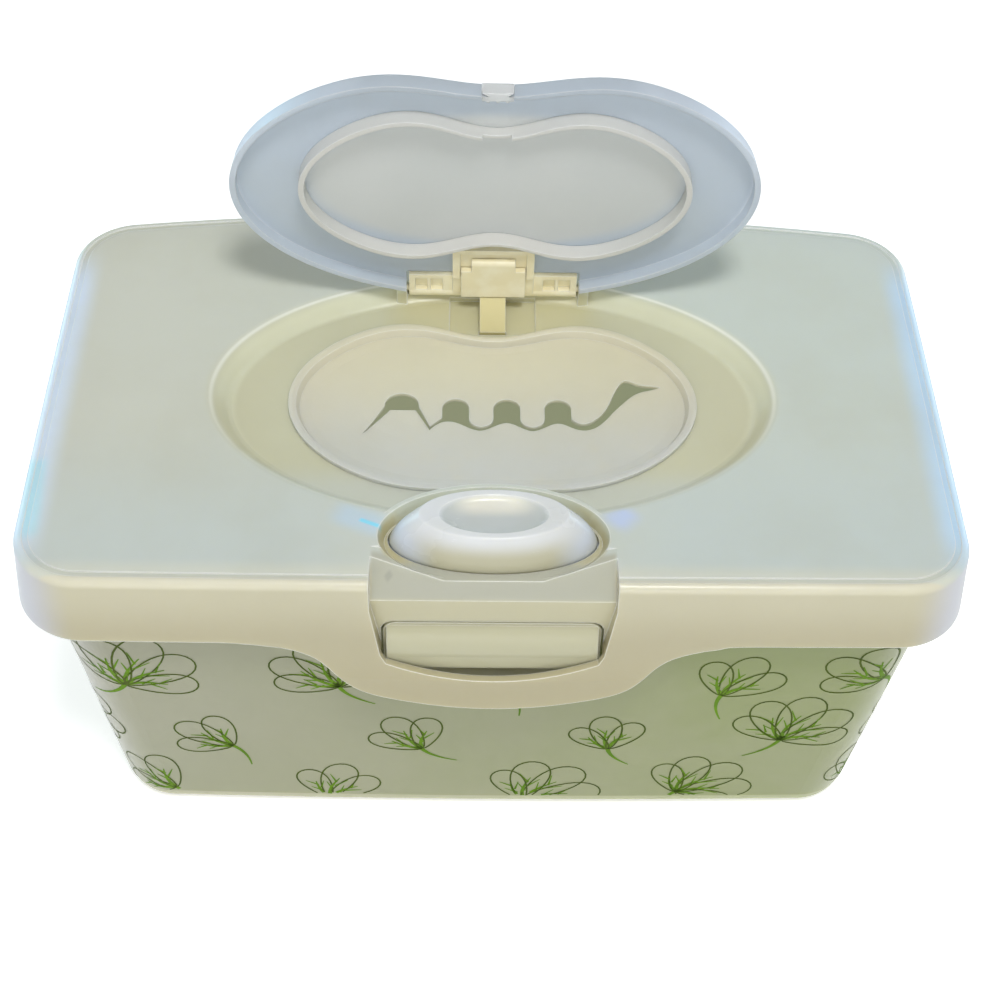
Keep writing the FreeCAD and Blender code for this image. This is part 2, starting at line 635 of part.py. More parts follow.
def thumb_outline(grow):
    """Front view of the thumb recess, open at the top."""
    y = -lid_depth
    right = [V(TONGUE_HALF_WIDTH - THUMB_SIDE_NARROW + grow, y, LID_TOP_Z - THUMB_SIDE_DROP),
             V(TONGUE_HALF_WIDTH + THUMB_LOW_WIDEN + grow, y, LID_TOP_Z - THUMB_LOW_DROP),
             V(thumb_half_width + grow, y, LID_TOP_Z - THUMB_TAPER_DROP),
             V(thumb_half_width + grow, y, LID_TOP_Z + OVERRUN)]
    left = [V(-p.x, y, p.z) for p in reversed(right)]
    lip = Part.Arc(left[-1], V(0, y, LID_TOP_Z - THUMB_LIP_DROP - grow), right[0]).toShape()
    loop = right + left
    lines = [Part.makeLine(loop[i], loop[i + 1]) for i in range(len(loop) - 1)]
    return Part.Face(Part.Wire([lip] + lines)).extrude(V(0, lid_depth, 0))


def thumb_side(grow):
    """Side view of the thumb recess: an upright back wall, then a facet that slopes back to the horns."""
    rise = (LID_TOP_Z - thumb_crease_z) / (thumb_horn_y - thumb_back_y)
    shift = grow * math.sqrt(1 + rise * rise) / rise
    back_y = thumb_back_y + grow
    crease_z = thumb_crease_z - (shift - grow) * rise
    over_z = LID_TOP_Z + OVERRUN
    points = [(-lid_depth, below_lid_z), (back_y, below_lid_z), (back_y, crease_z),
              (thumb_horn_y + shift + OVERRUN / rise, over_z), (-lid_depth, over_z)]
    return side_profile(points, LID_WIDTH / 2)


def thumb_channel():
    """Flat floor in front of the button that rises to the horns on both sides."""
    over_z = LID_TOP_Z + OVERRUN
    points = [(-THUMB_FLAT_HALF_WIDTH, well_floor_z), (THUMB_FLAT_HALF_WIDTH, well_floor_z),
              (thumb_half_width, LID_TOP_Z), (thumb_half_width, over_z),
              (-thumb_half_width, over_z), (-thumb_half_width, LID_TOP_Z)]
    loop = Part.makePolygon([V(x, -lid_depth / 2, z) for x, z in points + points[:1]])
    return Part.Face(loop).extrude(V(0, lid_depth / 2 + thumb_horn_y + THUMB_CHANNEL_RUN, 0))


def tongue_window(hollow):
    """Opening behind which the latch tongue stands, open below and closed in front by the lip."""
    window = bar_box(window_half_width, -lid_depth / 2 - OVERRUN, thumb_back_y + 2 * THUMB_WALL, below_lid_z,
                     window_top_z)
    corners = [e for e in window.Edges
               if e.BoundBox.YLength > OVERRUN and e.BoundBox.ZMin > window_top_z - WINDOW_CORNER]
    return window.makeFillet(WINDOW_CORNER, corners).common(hollow)


def recess_pocket(grow):
    """Oval dish with a flared top edge."""
    drop = RECESS_DROP + grow
    foot = RECESS_SLOPE + RECESS_FLARE / 2
    slopes = [(-RECESS_FLARE, 0)]
    slopes += [(RECESS_SLOPE * across, down) for across, down in RECESS_SIDE_SHARES]
    slopes.append((foot, 1))
    wires = [ellipse(RECESS_HALF_LENGTH + grow - inset, RECESS_HALF_DEPTH + grow - inset, RECESS_CENTRE_Y,
                     LID_TOP_Z - share * drop) for inset, share in slopes]
    return smooth_loft(wires)


def collar_block():
    return prism(ellipse(WELL_HALF_LENGTH + COLLAR_WALL, WELL_HALF_DEPTH + COLLAR_WALL, well_centre_y,
                         recess_floor_z - OVERRUN), RECESS_DROP + 2 * OVERRUN)


def well_pocket(grow):
    half_length = WELL_HALF_LENGTH + grow
    half_depth = WELL_HALF_DEPTH + grow
    top = ellipse(half_length, half_depth, well_centre_y, LID_TOP_Z)
    floor = ellipse(half_length - WELL_FLOOR_END_INSET, half_depth - WELL_FLOOR_SIDE_INSET,
                    well_centre_y + WELL_FLOOR_SHIFT, well_floor_z - grow)
    return straight_loft([top, floor])


def button_oval(grow, z):
    return ellipse(button_half_length + grow, button_half_depth + grow, button_centre_y, z)


def insert_outline(inset, z):
    return peanut_wire(insert_half_length - inset, insert_half_depth - inset, RECESS_CENTRE_Y,
                       (INSERT_REAR_DIP_SHARE, INSERT_FRONT_DIP_SHARE), INSERT_DIP_WIDTH, z)


def hinge_pocket(grow, high_z):
    """Pocket for the flip hinge and the channel for the spring strap."""
    around = SWEEP_GAP + grow
    arms = bar_box(CARRIER_HALF_WIDTH + SOCKET_GAP + grow, flip_axis_y - ARM_REACH - around,
                   flip_axis_y + BARREL_RADIUS + around, LID_TOP_Z - BARREL_RADIUS - around, high_z)
    channel = bar_box(channel_half_width + grow, channel_front_y - grow, flip_axis_y + around,
                      channel_floor_z - grow, high_z)
    return arms.fuse(channel)


def strap_slot(gap, low_z, high_z):
    return bar_box(STRAP_HALF_WIDTH + gap, strap_foot_y - gap, strap_foot_y + STRAP_THICKNESS + gap,
                   low_z, high_z)


def hook_slot():
    """Opening in the back of the collar, in which the latch hook stands."""
    slot_front_y = collar_back_y - SEAT_GAP - HOOK_THICKNESS - SLIDER_TRAVEL - SEAT_GAP
    return bar_box(HOOK_HALF_WIDTH + SEAT_GAP, slot_front_y, collar_back_y + COLLAR_WALL,
                   slider_top_z, hook_top_z + SEAT_GAP)


def flip_sockets():
    x0 = CARRIER_HALF_WIDTH + SOCKET_GAP
    x1 = x0 + SOCKET_WIDTH
    eye = rod(BARREL_RADIUS, x0, x1, flip_axis_y, LID_TOP_Z)
    stem = box(x0, x1, flip_axis_y - BARREL_RADIUS, flip_axis_y + BARREL_RADIUS,
               recess_floor_z - PAN_WALL / 2, LID_TOP_Z)
    bore = rod(FLIP_PIN_RADIUS + RUNNING_GAP, 0, x1, flip_axis_y, LID_TOP_Z)
    return both_sides(eye.fuse(stem).cut(bore))


def lid_ribs():
    """Ribs that locate the lid inside the mouth of the tub."""
    inner_x = tub_waist_width / 2 - TUB_WALL - RIB_GAP
    inner_y = tub_waist_depth / 2 - TUB_WALL - RIB_GAP
    low_z = lid_ceiling_z - RIB_DEPTH
    side_y = tub_waist_depth / 2 - SIDE_RIB_MARGIN
    front_x = tub_waist_width / 2 - FRONT_RIB_MARGIN
    side = box(inner_x - RIB_WALL, inner_x, -side_y, side_y, low_z, lid_ceiling_z)
    front = box(alcove_half_width + FRONT_RIB_START, front_x, -inner_y, -inner_y + RIB_WALL, low_z,
                lid_ceiling_z)
    return both_sides(side.fuse(front))


def knuckles(outer):
    """Barrels of the rear hinge with the webs that tie them to the skirt."""
    barrels = []
    for side in (-1, 1):
        x0 = rear_hinge_x * side - KNUCKLE_LENGTH / 2
        x1 = x0 + KNUCKLE_LENGTH
        barrel = rod(KNUCKLE_RADIUS, x0, x1, rear_axis_y, rear_axis_z)
        web = box(x0, x1, rear_axis_y, lid_depth, rear_axis_z - REAR_PIN_RADIUS,
                  rear_axis_z + KNUCKLE_RADIUS)
        bore = rod(REAR_PIN_RADIUS + RUNNING_GAP, x0, x1, rear_axis_y, rear_axis_z)
        barrels.append(barrel.fuse(web.common(outer)).cut(bore))
    return barrels


def stakes():
    """Pegs under the lid that the retainer is pressed onto."""
    low_z = retainer_top_z - RETAINER_THICKNESS - RIB_WALL / 2
    seat_z = retainer_top_z + RUNNING_GAP
    pegs = []
    for spot, top_z in ((stake_side, lid_ceiling_z), (stake_rear, recess_floor_z - PAN_WALL / 2)):
        pegs.append(post(STAKE_RADIUS, spot, low_z, top_z))
        pegs.append(post(STAKE_RADIUS + STAKE_COLLAR, spot, seat_z, top_z))
    return both_sides(fuse_all(pegs))


def plateau_groove():
    floor_z = LID_TOP_Z - GROOVE_DEPTH
    inset = LID_DRAFT + GROOVE_INSET
    outer = prism(lid_wire(inset - GROOVE_WIDTH / 2, floor_z), OVERRUN)
    return outer.cut(prism(lid_wire(inset + GROOVE_WIDTH / 2, floor_z), OVERRUN))


def make_main_lid():
    outer = lid_block(0, LID_TOP_Z, LID_EDGE_ROUND).fuse(apron_block(0))
    hollow = lid_block(LID_WALL, lid_ceiling_z, LID_INNER_ROUND).fuse(apron_block(LID_WALL))
    thumb_walls = thumb_outline(THUMB_WALL).common(thumb_side(THUMB_WALL)).common(outer)
    recess = recess_pocket(0).cut(collar_block())
    solid = fuse_all([outer.cut(hollow), thumb_walls, recess_pocket(PAN_WALL),
                      well_pocket(WELL_FLOOR).common(outer), hinge_pocket(PAN_WALL, lid_ceiling_z),
                      lid_ribs()])
    flange_room = prism(button_oval(BUTTON_FLANGE + BUTTON_HOLE_GAP, below_lid_z),
                        flange_top_z + SEAT_GAP - below_lid_z)
    button_hole = prism(button_oval(BUTTON_HOLE_GAP, below_lid_z), LID_TOP_Z - below_lid_z)
    insert_hole = prism(insert_outline(INSERT_NECK_INSET - SEAT_GAP, recess_floor_z - OVERRUN), 2 * OVERRUN)
    for tool in (below_skirt(), recess, well_pocket(0), thumb_channel(),
                 thumb_outline(0).common(thumb_side(0)), tongue_window(hollow),
                 hinge_pocket(0, LID_TOP_Z + OVERRUN), hook_slot(),
                 strap_slot(SEAT_GAP / 2, channel_floor_z - OVERRUN, LID_TOP_Z),
                 insert_hole, flange_room, button_hole, plateau_groove()):
        solid = solid.cut(tool)
    return fuse_all([solid, flip_sockets(), stakes()] + knuckles(outer))


# Pop-up insert

def slit_prism():
    """Wavy slit: the upper edge runs over round lobes, the lower edge follows it with soft tabs."""
    z = recess_floor_z - OVERRUN

    def at(x, y):
        return V(x * insert_half_length, y * insert_half_length, z)

    def line(start, end):
        return Part.makeLine(at(*start), at(*end))

    def arc(start, middle, end):
        return Part.Arc(at(*start), at(*middle), at(*end)).toShape()

    def spline(points):
        curve = Part.BSplineCurve()
        curve.interpolate([at(*point) for point in points])
        return curve.toShape()

    valley_radius = LOBE_PITCH_SHARE / 2 - LOBE_RADIUS_SHARE
    spring_y = LOBE_TOP_Y_SHARE - LOBE_RADIUS_SHARE
    foot_y = VALLEY_Y_SHARE + valley_radius
    end_left = (END_LOBE_X_SHARE - END_LOBE_RADIUS_SHARE, END_LOBE_BASE_Y_SHARE)
    end_right = (END_LOBE_X_SHARE + END_LOBE_RADIUS_SHARE, END_LOBE_BASE_Y_SHARE)
    first_left = LOBE_FIRST_X_SHARE - LOBE_RADIUS_SHARE
    first_valley = (first_left - valley_radius, VALLEY_Y_SHARE)
    edges = [line(LEFT_TIP_SHARES, end_left),
             arc(end_left, (END_LOBE_X_SHARE, END_LOBE_TOP_Y_SHARE), end_right),
             line(end_right, first_valley),
             line(first_valley, (first_left, foot_y)),
             line((first_left, foot_y), (first_left, spring_y))]
    for k in range(LOBE_COUNT):
        x = LOBE_FIRST_X_SHARE + k * LOBE_PITCH_SHARE
        right = x + LOBE_RADIUS_SHARE
        edges.append(arc((x - LOBE_RADIUS_SHARE, spring_y), (x, LOBE_TOP_Y_SHARE), (right, spring_y)))
        edges.append(line((right, spring_y), (right, foot_y)))
        if k < LOBE_COUNT - 1:
            next_left = right + 2 * valley_radius
            edges.append(arc((right, foot_y), (right + valley_radius, VALLEY_Y_SHARE), (next_left, foot_y)))
            edges.append(line((next_left, foot_y), (next_left, spring_y)))
    edges.append(spline([(right, foot_y)] + list(RIGHT_TAIL_UPPER_SHARES) + [RIGHT_TIP_SHARES]))
    low_y = VALLEY_Y_SHARE - SLIT_GAP_SHARE
    wave = []
    for k in reversed(range(LOBE_COUNT)):
        x = LOBE_FIRST_X_SHARE + k * LOBE_PITCH_SHARE
        wave.append((x, low_y + TAB_RISE_SHARE))
        wave.append((x - LOBE_PITCH_SHARE / 2, low_y))
    edges.append(spline([RIGHT_TIP_SHARES] + list(RIGHT_TAIL_LOWER_SHARES) + wave))
    hair_left = (end_left[0] + SLIT_GAP_SHARE, end_left[1] - SLIT_GAP_SHARE)
    hair_right = (end_right[0] - SLIT_GAP_SHARE / 2, end_right[1] - SLIT_GAP_SHARE)
    edges += [line(wave[-1], hair_right), line(hair_right, hair_left), line(hair_left, LEFT_TIP_SHARES)]
    return Part.Face(Part.Wire(edges)).extrude(V(0, 0, 2 * OVERRUN))


def insert_bowl(drop, spread):
    """Solid of the dish, lowered by the drop and widened by the spread."""
    foot = 3 * INSERT_BORDER
    reach = insert_half_depth - INSERT_DISH_FLAT - foot
    slope = [(INSERT_BORDER, 0), (2 * INSERT_BORDER, INSERT_CREST_SHARE), (foot, INSERT_STEP_SHARE)]
    slope += [(foot + reach * across, down) for across, down in INSERT_DISH_SHARES]
    wires = [insert_outline(inset - spread, insert_top_z - share * INSERT_DISH - drop)
             for inset, share in slope]
    return straight_loft(wires)


def make_orifice_insert():
    flange_low = recess_floor_z + RUNNING_GAP
    flange = prism(insert_outline(0, flange_low), insert_top_z - flange_low)
    neck_low = recess_floor_z - INSERT_NECK_DEPTH
    neck = prism(insert_outline(INSERT_NECK_INSET, neck_low), insert_top_z - neck_low)
    bore = prism(insert_outline(INSERT_NECK_INSET + INSERT_NECK_WALL, neck_low), insert_top_z - neck_low)
    skin = insert_bowl(INSERT_SKIN, 0).common(neck)
    bead_top = frame_top_z - FRAME_THICKNESS - RUNNING_GAP
    bead = prism(insert_outline(INSERT_NECK_INSET - INSERT_BEAD, neck_low), bead_top - neck_low).cut(bore)
    body = fuse_all([flange, neck.cut(bore), skin, bead])
    return body.cut(insert_bowl(0, 0)).cut(slit_prism())


def make_orifice_frame():
    low_z = frame_top_z - FRAME_THICKNESS
    outer = prism(insert_outline(INSERT_NECK_INSET - FRAME_OVERLAP, low_z), FRAME_THICKNESS)
    ring = outer.cut(prism(insert_outline(INSERT_NECK_INSET - SEAT_GAP, low_z), FRAME_THICKNESS))
    return ring.cut(hinge_pocket(PAN_WALL + RUNNING_GAP, LID_TOP_Z))


# Button, slider, retainer and spring

def button_side(inset, low_z, high_z):
    """Outside of the button, or its hollow when inset."""
    wires = []
    for rise, draw in BUTTON_SIDE_SHARES:
        half_length = button_half_length + (button_top_half_length - button_half_length) * draw - inset
        half_depth = button_half_depth + (button_top_half_depth - button_half_depth) * draw - inset
        wires.append(ellipse(half_length, half_depth, button_centre_y, low_z + (high_z - low_z) * rise))
    return smooth_loft(wires)


def slanted_fin(gap, low_z, high_z):
    """Blade that leans forward as it rises and drives the slider."""
    lean = -SLIDER_TRAVEL / BUTTON_TRAVEL
    half = FIN_DEPTH / 2 + gap
    low_y = button_centre_y + (low_z - flange_low_z) * lean
    high_y = button_centre_y + (high_z - flange_low_z) * lean
    points = [(low_y - half, low_z), (low_y + half, low_z), (high_y + half, high_z), (high_y - half, high_z)]
    blade = side_profile(points, FIN_WIDTH / 2 + gap)
    return [blade.translated(V(fin_x * side, 0, 0)) for side in (-1, 1)]


def make_push_button():
    top_z = well_floor_z + BUTTON_RISE
    crown = button_side(0, well_floor_z, top_z)
    crown = crown.makeFillet(BUTTON_TOP_ROUND, top_edges(crown))
    shaft = prism(button_oval(0, flange_low_z), well_floor_z - flange_low_z)
    flange = prism(button_oval(BUTTON_FLANGE, flange_low_z), BUTTON_FLANGE_THICKNESS)
    hollow = button_side(BUTTON_WALL, well_floor_z, button_ceiling_z)
    hollow = hollow.fuse(prism(button_oval(-BUTTON_WALL, flange_low_z), well_floor_z - flange_low_z))
    dish_half_length = button_top_half_length - BUTTON_DISH_END_INSET
    dish_half_depth = button_top_half_depth - BUTTON_DISH_SIDE_INSET
    dish = smooth_loft([ellipse(dish_half_length * share, dish_half_depth * share, button_centre_y,
                                top_z - BUTTON_DISH * drop) for share, drop in BUTTON_DISH_SHARES])
    outside = crown.fuse(shaft)
    rib = bar_box(FIN_WIDTH / 2, button_centre_y - button_half_depth, button_centre_y + button_half_depth,
                  flange_low_z, top_z - BUTTON_DISH - BUTTON_WALL / 2)
    ribs = [rib.translated(V(fin_x * side, 0, 0)).common(outside) for side in (-1, 1)]
    stem = post(BUTTON_STEM_RADIUS, (0, button_centre_y), flange_low_z, button_ceiling_z + BUTTON_WALL / 2)
    fins = slanted_fin(0, slider_low_z - SEAT_GAP, flange_low_z + BUTTON_FLANGE_THICKNESS)
    body = outside.fuse(flange).cut(hollow).cut(dish)
    back_y = button_centre_y + button_half_depth + RUNNING_GAP
    hook_room = bar_box(HOOK_HALF_WIDTH + SEAT_GAP, back_y, back_y + OVERRUN, flange_low_z, flange_top_z)
    return fuse_all([body.cut(hook_room), stem] + ribs + fins)


def make_latch_slider():
    plate = bar_box(SLIDER_HALF_WIDTH, slider_front_y, slider_rear_y, slider_low_z, slider_top_z)
    hook_back = collar_back_y - SEAT_GAP
    neck = bar_box(HOOK_HALF_WIDTH, slider_rear_y, hook_back, slider_low_z, slider_top_z)
    hook = bar_box(HOOK_HALF_WIDTH, hook_back - HOOK_THICKNESS, hook_back, slider_low_z, hook_top_z)
    hole_radius = SPRING_RADIUS + SPRING_WIRE_RADIUS + SEAT_GAP
    spring_hole = post(hole_radius, (0, button_centre_y), slider_low_z, slider_top_z)
    slot_end = post(hole_radius, (0, button_centre_y + SLIDER_TRAVEL), slider_low_z, slider_top_z)
    slot_middle = bar_box(hole_radius, button_centre_y, button_centre_y + SLIDER_TRAVEL, slider_low_z,
                          slider_top_z)
    slots = slanted_fin(FIN_SIDE_GAP, slider_low_z - OVERRUN, slider_top_z + OVERRUN)
    body = fuse_all([plate, neck, hook])
    for tool in [spring_hole, slot_end, slot_middle] + slots:
        body = body.cut(tool)
    return body


def make_latch_retainer():
    low_z = retainer_top_z - RETAINER_THICKNESS
    plate = bar_box(stake_side[0] + RETAINER_EDGE, slider_front_y - RETAINER_FRONT_EDGE,
                    stake_rear[1] + RETAINER_REAR_EDGE, low_z, retainer_top_z)
    upright = [e for e in plate.Edges if e.BoundBox.ZLength > RETAINER_THICKNESS / 2]
    plate = plate.makeFillet(RETAINER_CORNER, upright)
    boss = post(boss_radius, (0, button_centre_y), retainer_top_z, retainer_top_z + BOSS_HEIGHT)
    under = box(SLIDER_HALF_WIDTH - RAIL_WIDTH, SLIDER_HALF_WIDTH + SEAT_GAP + RAIL_WIDTH, slider_front_y,
                slider_rear_y + OVERRUN / 2, retainer_top_z, slider_low_z - SEAT_GAP)
    guide = box(SLIDER_HALF_WIDTH + SEAT_GAP, SLIDER_HALF_WIDTH + SEAT_GAP + RAIL_WIDTH, slider_front_y,
                slider_rear_y + OVERRUN / 2, retainer_top_z, slider_top_z)
    body = fuse_all([plate, boss, both_sides(under), both_sides(guide)])
    holes = [both_sides(post(STAKE_RADIUS + RUNNING_GAP, spot, low_z, retainer_top_z + RIB_WALL))
             for spot in (stake_side, stake_rear)]
    return body.cut(holes[0]).cut(holes[1])


def make_button_spring():
    low_z = retainer_top_z + SPRING_WIRE_RADIUS + RUNNING_GAP
    high_z = button_ceiling_z - SPRING_WIRE_RADIUS - RUNNING_GAP
    pitch = (high_z - low_z) / SPRING_TURNS
    helix = Part.makeHelix(pitch, high_z - low_z, SPRING_RADIUS)
    helix.translate(V(0, button_centre_y, low_z))
    start = V(SPRING_RADIUS, button_centre_y, low_z)
    wire = Part.Wire(Part.makeCircle(SPRING_WIRE_RADIUS, start, V(0, 1, 0)))
    return Part.Wire(helix).makePipeShell([wire], True, True)


# Flip lid and its hinge, made closed and then turned to the open rest pose

def reach_y(distance):
    """Y of a point at this distance from the hinge axis, towards the middle of the lid."""
    return flip_axis_y - distance


def under_z(distance):
    """Z of a point this far below the hinge axis with the lid closed."""
    return LID_TOP_Z - distance


def opened(shape):
    turned = shape.copy()
    turned.rotate(V(0, flip_axis_y, LID_TOP_Z), X_AXIS, -FLIP_OPEN_ANGLE)
    return turned


def flip_outline(inset, z):
    return peanut_wire(flip_half_length - inset, flip_half_depth - inset, reach_y(flip_reach),
                       (0, FLIP_DIP_SHARE), FLIP_DIP_WIDTH, z)


def ring_outline(inset, z):
    return peanut_wire(ring_half_length - inset, ring_half_depth - inset, reach_y(flip_reach),
                       (RING_DIP_SHARE, RING_DIP_SHARE), RING_DIP_WIDTH, z)


def lug_block(gap, low_z):
    return bar_box(LUG_HALF_WIDTH + gap, flip_front_y - gap, flip_front_y + LUG_THICKNESS + gap,
                   low_z - gap, LID_TOP_Z + FLIP_TOP + gap)


def make_flip_lid():
    top_z = LID_TOP_Z + FLIP_TOP
    outer = straight_loft([flip_outline(0, flip_rim_z), flip_outline(FLIP_DRAFT, top_z)])
    inner = prism(flip_outline(FLIP_RIM_WALL, flip_rim_z), flip_inner_z - flip_rim_z)
    notch = bar_box(CARRIER_HALF_WIDTH + SOCKET_GAP, reach_y(ARM_REACH + SEAT_GAP), flip_axis_y + OVERRUN,
                    flip_rim_z, top_z)
    relief = prism(insert_outline(-SEAT_GAP, flip_rim_z), lug_low_z - flip_rim_z)
    return outer.cut(inner).cut(notch).cut(relief).cut(lug_block(RUNNING_GAP, flip_rim_z))


def make_flip_seal_ring():
    low_z = flip_inner_z - RUNNING_GAP - RING_HEIGHT
    ring = prism(ring_outline(0, low_z), RING_HEIGHT).cut(prism(ring_outline(RING_WALL, low_z), RING_HEIGHT))
    notch = bar_box(RING_NOTCH_HALF_WIDTH, reach_y(2 * flip_reach), reach_y(flip_reach), low_z,
                    low_z + RING_NOTCH_DEPTH)
    return ring.cut(notch)


def make_catch_lug():
    block = lug_block(0, lug_low_z)
    inner_y = block.BoundBox.YMax
    ridges = []
    for k in range(LUG_RIDGE_COUNT):
        x = (k - (LUG_RIDGE_COUNT - 1) / 2) * LUG_RIDGE_PITCH
        ridges.append(post(LUG_RIDGE_RADIUS, (x, inner_y), lug_low_z, flip_inner_z - RUNNING_GAP))
    return fuse_all([block] + ridges)


def make_hinge_carrier():
    under = under_z(HOUSING_UNDER)
    plate_top = flip_inner_z - RUNNING_GAP
    barrel = rod(BARREL_RADIUS, -CARRIER_HALF_WIDTH, CARRIER_HALF_WIDTH, flip_axis_y, LID_TOP_Z)
    arms = bar_box(CARRIER_HALF_WIDTH, reach_y(ARM_REACH), flip_axis_y, under_z(ARM_UNDER),
                   LID_TOP_Z + FLIP_TOP)
    plate = bar_box(HOUSING_HALF_WIDTH, reach_y(HOUSING_FAR), reach_y(HOUSING_NEAR), under, plate_top)
    ridge = bar_box(HOUSING_HALF_WIDTH, reach_y(HOUSING_FAR), reach_y(HOUSING_FAR - HOUSING_RIDGE),
                    under_z(HOUSING_RIDGE_UNDER), plate_top)
    cheek = box(clip_half_width + SEAT_GAP, HOUSING_HALF_WIDTH, reach_y(HOUSING_FAR), reach_y(ARM_REACH),
                under_z(HOUSING_RIDGE_UNDER), plate_top)
    body = fuse_all([barrel, arms, plate, ridge, both_sides(cheek)])
    for k in range(CELL_COUNT):
        x = HOUSING_HALF_WIDTH + CELL_START + k * CELL_PITCH
        cell = box(x, x + CELL_WIDTH, reach_y(CELL_FAR), reach_y(CELL_NEAR), under_z(ARM_UNDER),
                   LID_TOP_Z + FLIP_TOP - CELL_ROOF)
        body = body.cut(both_sides(cell))
    bore = rod(FLIP_PIN_RADIUS + RUNNING_GAP, CARRIER_HALF_WIDTH - FLIP_PIN_DEPTH - RUNNING_GAP,
               CARRIER_HALF_WIDTH, flip_axis_y, LID_TOP_Z)
    return body.cut(both_sides(bore))


def make_strap_clip():
    top_z = under_z(HOUSING_UNDER + SEAT_GAP)
    low_z = under_z(CLIP_UNDER)
    plate = bar_box(clip_half_width, reach_y(CLIP_FAR), reach_y(CLIP_NEAR), low_z, top_z)
    bump = bar_box(clip_bump_half_width, reach_y(CLIP_BUMP_FAR), reach_y(CLIP_NEAR), low_z, top_z)
    far_edges = [e for e in bottom_edges(bump) if e.BoundBox.YMax < reach_y(CLIP_FAR)]
    return plate.fuse(bump.makeFillet(CLIP_BUMP_ROUND, far_edges)).removeSplitter()


def make_spring_strap():
    """Strap from its anchor through the slot, then leaning back to the clip of the opened lid."""
    turn = math.radians(FLIP_OPEN_ANGLE)
    clip_front_y = flip_axis_y - CLIP_NEAR * math.cos(turn) - CLIP_UNDER * math.sin(turn)
    clip_low_z = LID_TOP_Z + CLIP_NEAR * math.sin(turn) - CLIP_UNDER * math.cos(turn)
    end_z = clip_low_z - SEAT_GAP
    foot_z = channel_floor_z - STRAP_FOOT_DEPTH
    bend_z = channel_floor_z + STRAP_BEND
    back_y = strap_foot_y + STRAP_THICKNESS
    points = [(strap_foot_y, foot_z), (back_y, foot_z), (back_y, bend_z),
              (clip_front_y + STRAP_THICKNESS, end_z - STRAP_THICKNESS / 2),
              (clip_front_y + STRAP_THICKNESS, end_z), (clip_front_y, end_z),
              (strap_foot_y, bend_z + STRAP_THICKNESS / 2)]
    return side_profile(points, STRAP_HALF_WIDTH)


def make_strap_anchor():
    top_z = channel_floor_z - PAN_WALL - RUNNING_GAP
    middle_y = strap_foot_y + STRAP_THICKNESS / 2
    block = bar_box(anchor_half_width, middle_y - ANCHOR_DEPTH / 2, middle_y + ANCHOR_DEPTH / 2,
                    top_z - ANCHOR_HEIGHT, top_z)
    return block.cut(strap_slot(SEAT_GAP / 2, top_z - ANCHOR_HEIGHT + ANCHOR_FLOOR, top_z))


def make_flip_pin(side):
    start = (CARRIER_HALF_WIDTH - FLIP_PIN_DEPTH) * side
    end = (CARRIER_HALF_WIDTH + SOCKET_GAP + SOCKET_WIDTH) * side
    return rod(FLIP_PIN_RADIUS, min(start, end), max(start, end), flip_axis_y, LID_TOP_Z)


NODES = {
    "tub": make_tub,
    "tub_wrap": make_tub_wrap,
    "rear_hinge_pin_left": lambda: make_rear_pin(-1),
    "rear_hinge_pin_right": lambda: make_rear_pin(1),
    "latch_tongue": make_latch_tongue,
    "main_lid": make_main_lid,
    "orifice_insert": make_orifice_insert,
    "orifice_frame": make_orifice_frame,
    "latch_retainer": make_latch_retainer,
    "button_spring": make_button_spring,
    "strap_anchor": make_strap_anchor,
    "spring_strap": make_spring_strap,
    "push_button": make_push_button,
    "latch_slider": make_latch_slider,
    "flip_lid": lambda: opened(make_flip_lid()),
    "flip_seal_ring": lambda: opened(make_flip_seal_ring()),
    "catch_lug": lambda: opened(make_catch_lug()),
    "hinge_carrier": lambda: opened(make_hinge_carrier()),
    "strap_clip": lambda: opened(make_strap_clip()),
    "flip_hinge_pin_left": lambda: opened(make_flip_pin(-1)),
    "flip_hinge_pin_right": lambda: opened(make_flip_pin(1)),
}

os.makedirs("parts", exist_ok=True)
for name, make in NODES.items():
    shape = make()
    print(name, len(shape.Solids), shape.isValid(), round(shape.Volume), shape.BoundBox)
    shape.exportStep("parts/" + name + ".step")
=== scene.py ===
"""Looks of the countertop wipes dispenser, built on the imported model. Metres, +Z up, +Y to the rear."""

import math
import random

import bmesh
import bpy
from mathutils import Matrix, Vector
from mathutils.bvhtree import BVHTree


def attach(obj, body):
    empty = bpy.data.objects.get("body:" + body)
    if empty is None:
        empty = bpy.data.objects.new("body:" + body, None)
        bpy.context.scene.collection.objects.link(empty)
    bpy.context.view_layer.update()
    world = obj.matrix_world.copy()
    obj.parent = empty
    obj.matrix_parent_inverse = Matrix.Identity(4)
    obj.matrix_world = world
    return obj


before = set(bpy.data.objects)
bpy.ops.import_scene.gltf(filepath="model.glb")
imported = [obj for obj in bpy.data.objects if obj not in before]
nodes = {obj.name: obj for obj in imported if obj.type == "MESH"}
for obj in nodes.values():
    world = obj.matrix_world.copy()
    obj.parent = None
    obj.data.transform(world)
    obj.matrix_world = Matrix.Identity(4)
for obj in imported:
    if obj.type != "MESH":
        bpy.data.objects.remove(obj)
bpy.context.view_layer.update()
MM = 0.001

# Camera, as fitted to the photo
CAMERA_SPOT = (-6.713 * MM, -321.055 * MM, 416.105 * MM)
CAMERA_RIGHT = (0.99976, -0.00571, 0.02102)
CAMERA_UP = (-0.00997, 0.73797, 0.67476)
CAMERA_AHEAD = (0.01936, 0.67481, -0.73774)
LENS_MM = 66.07
SENSOR_MM = 36.0

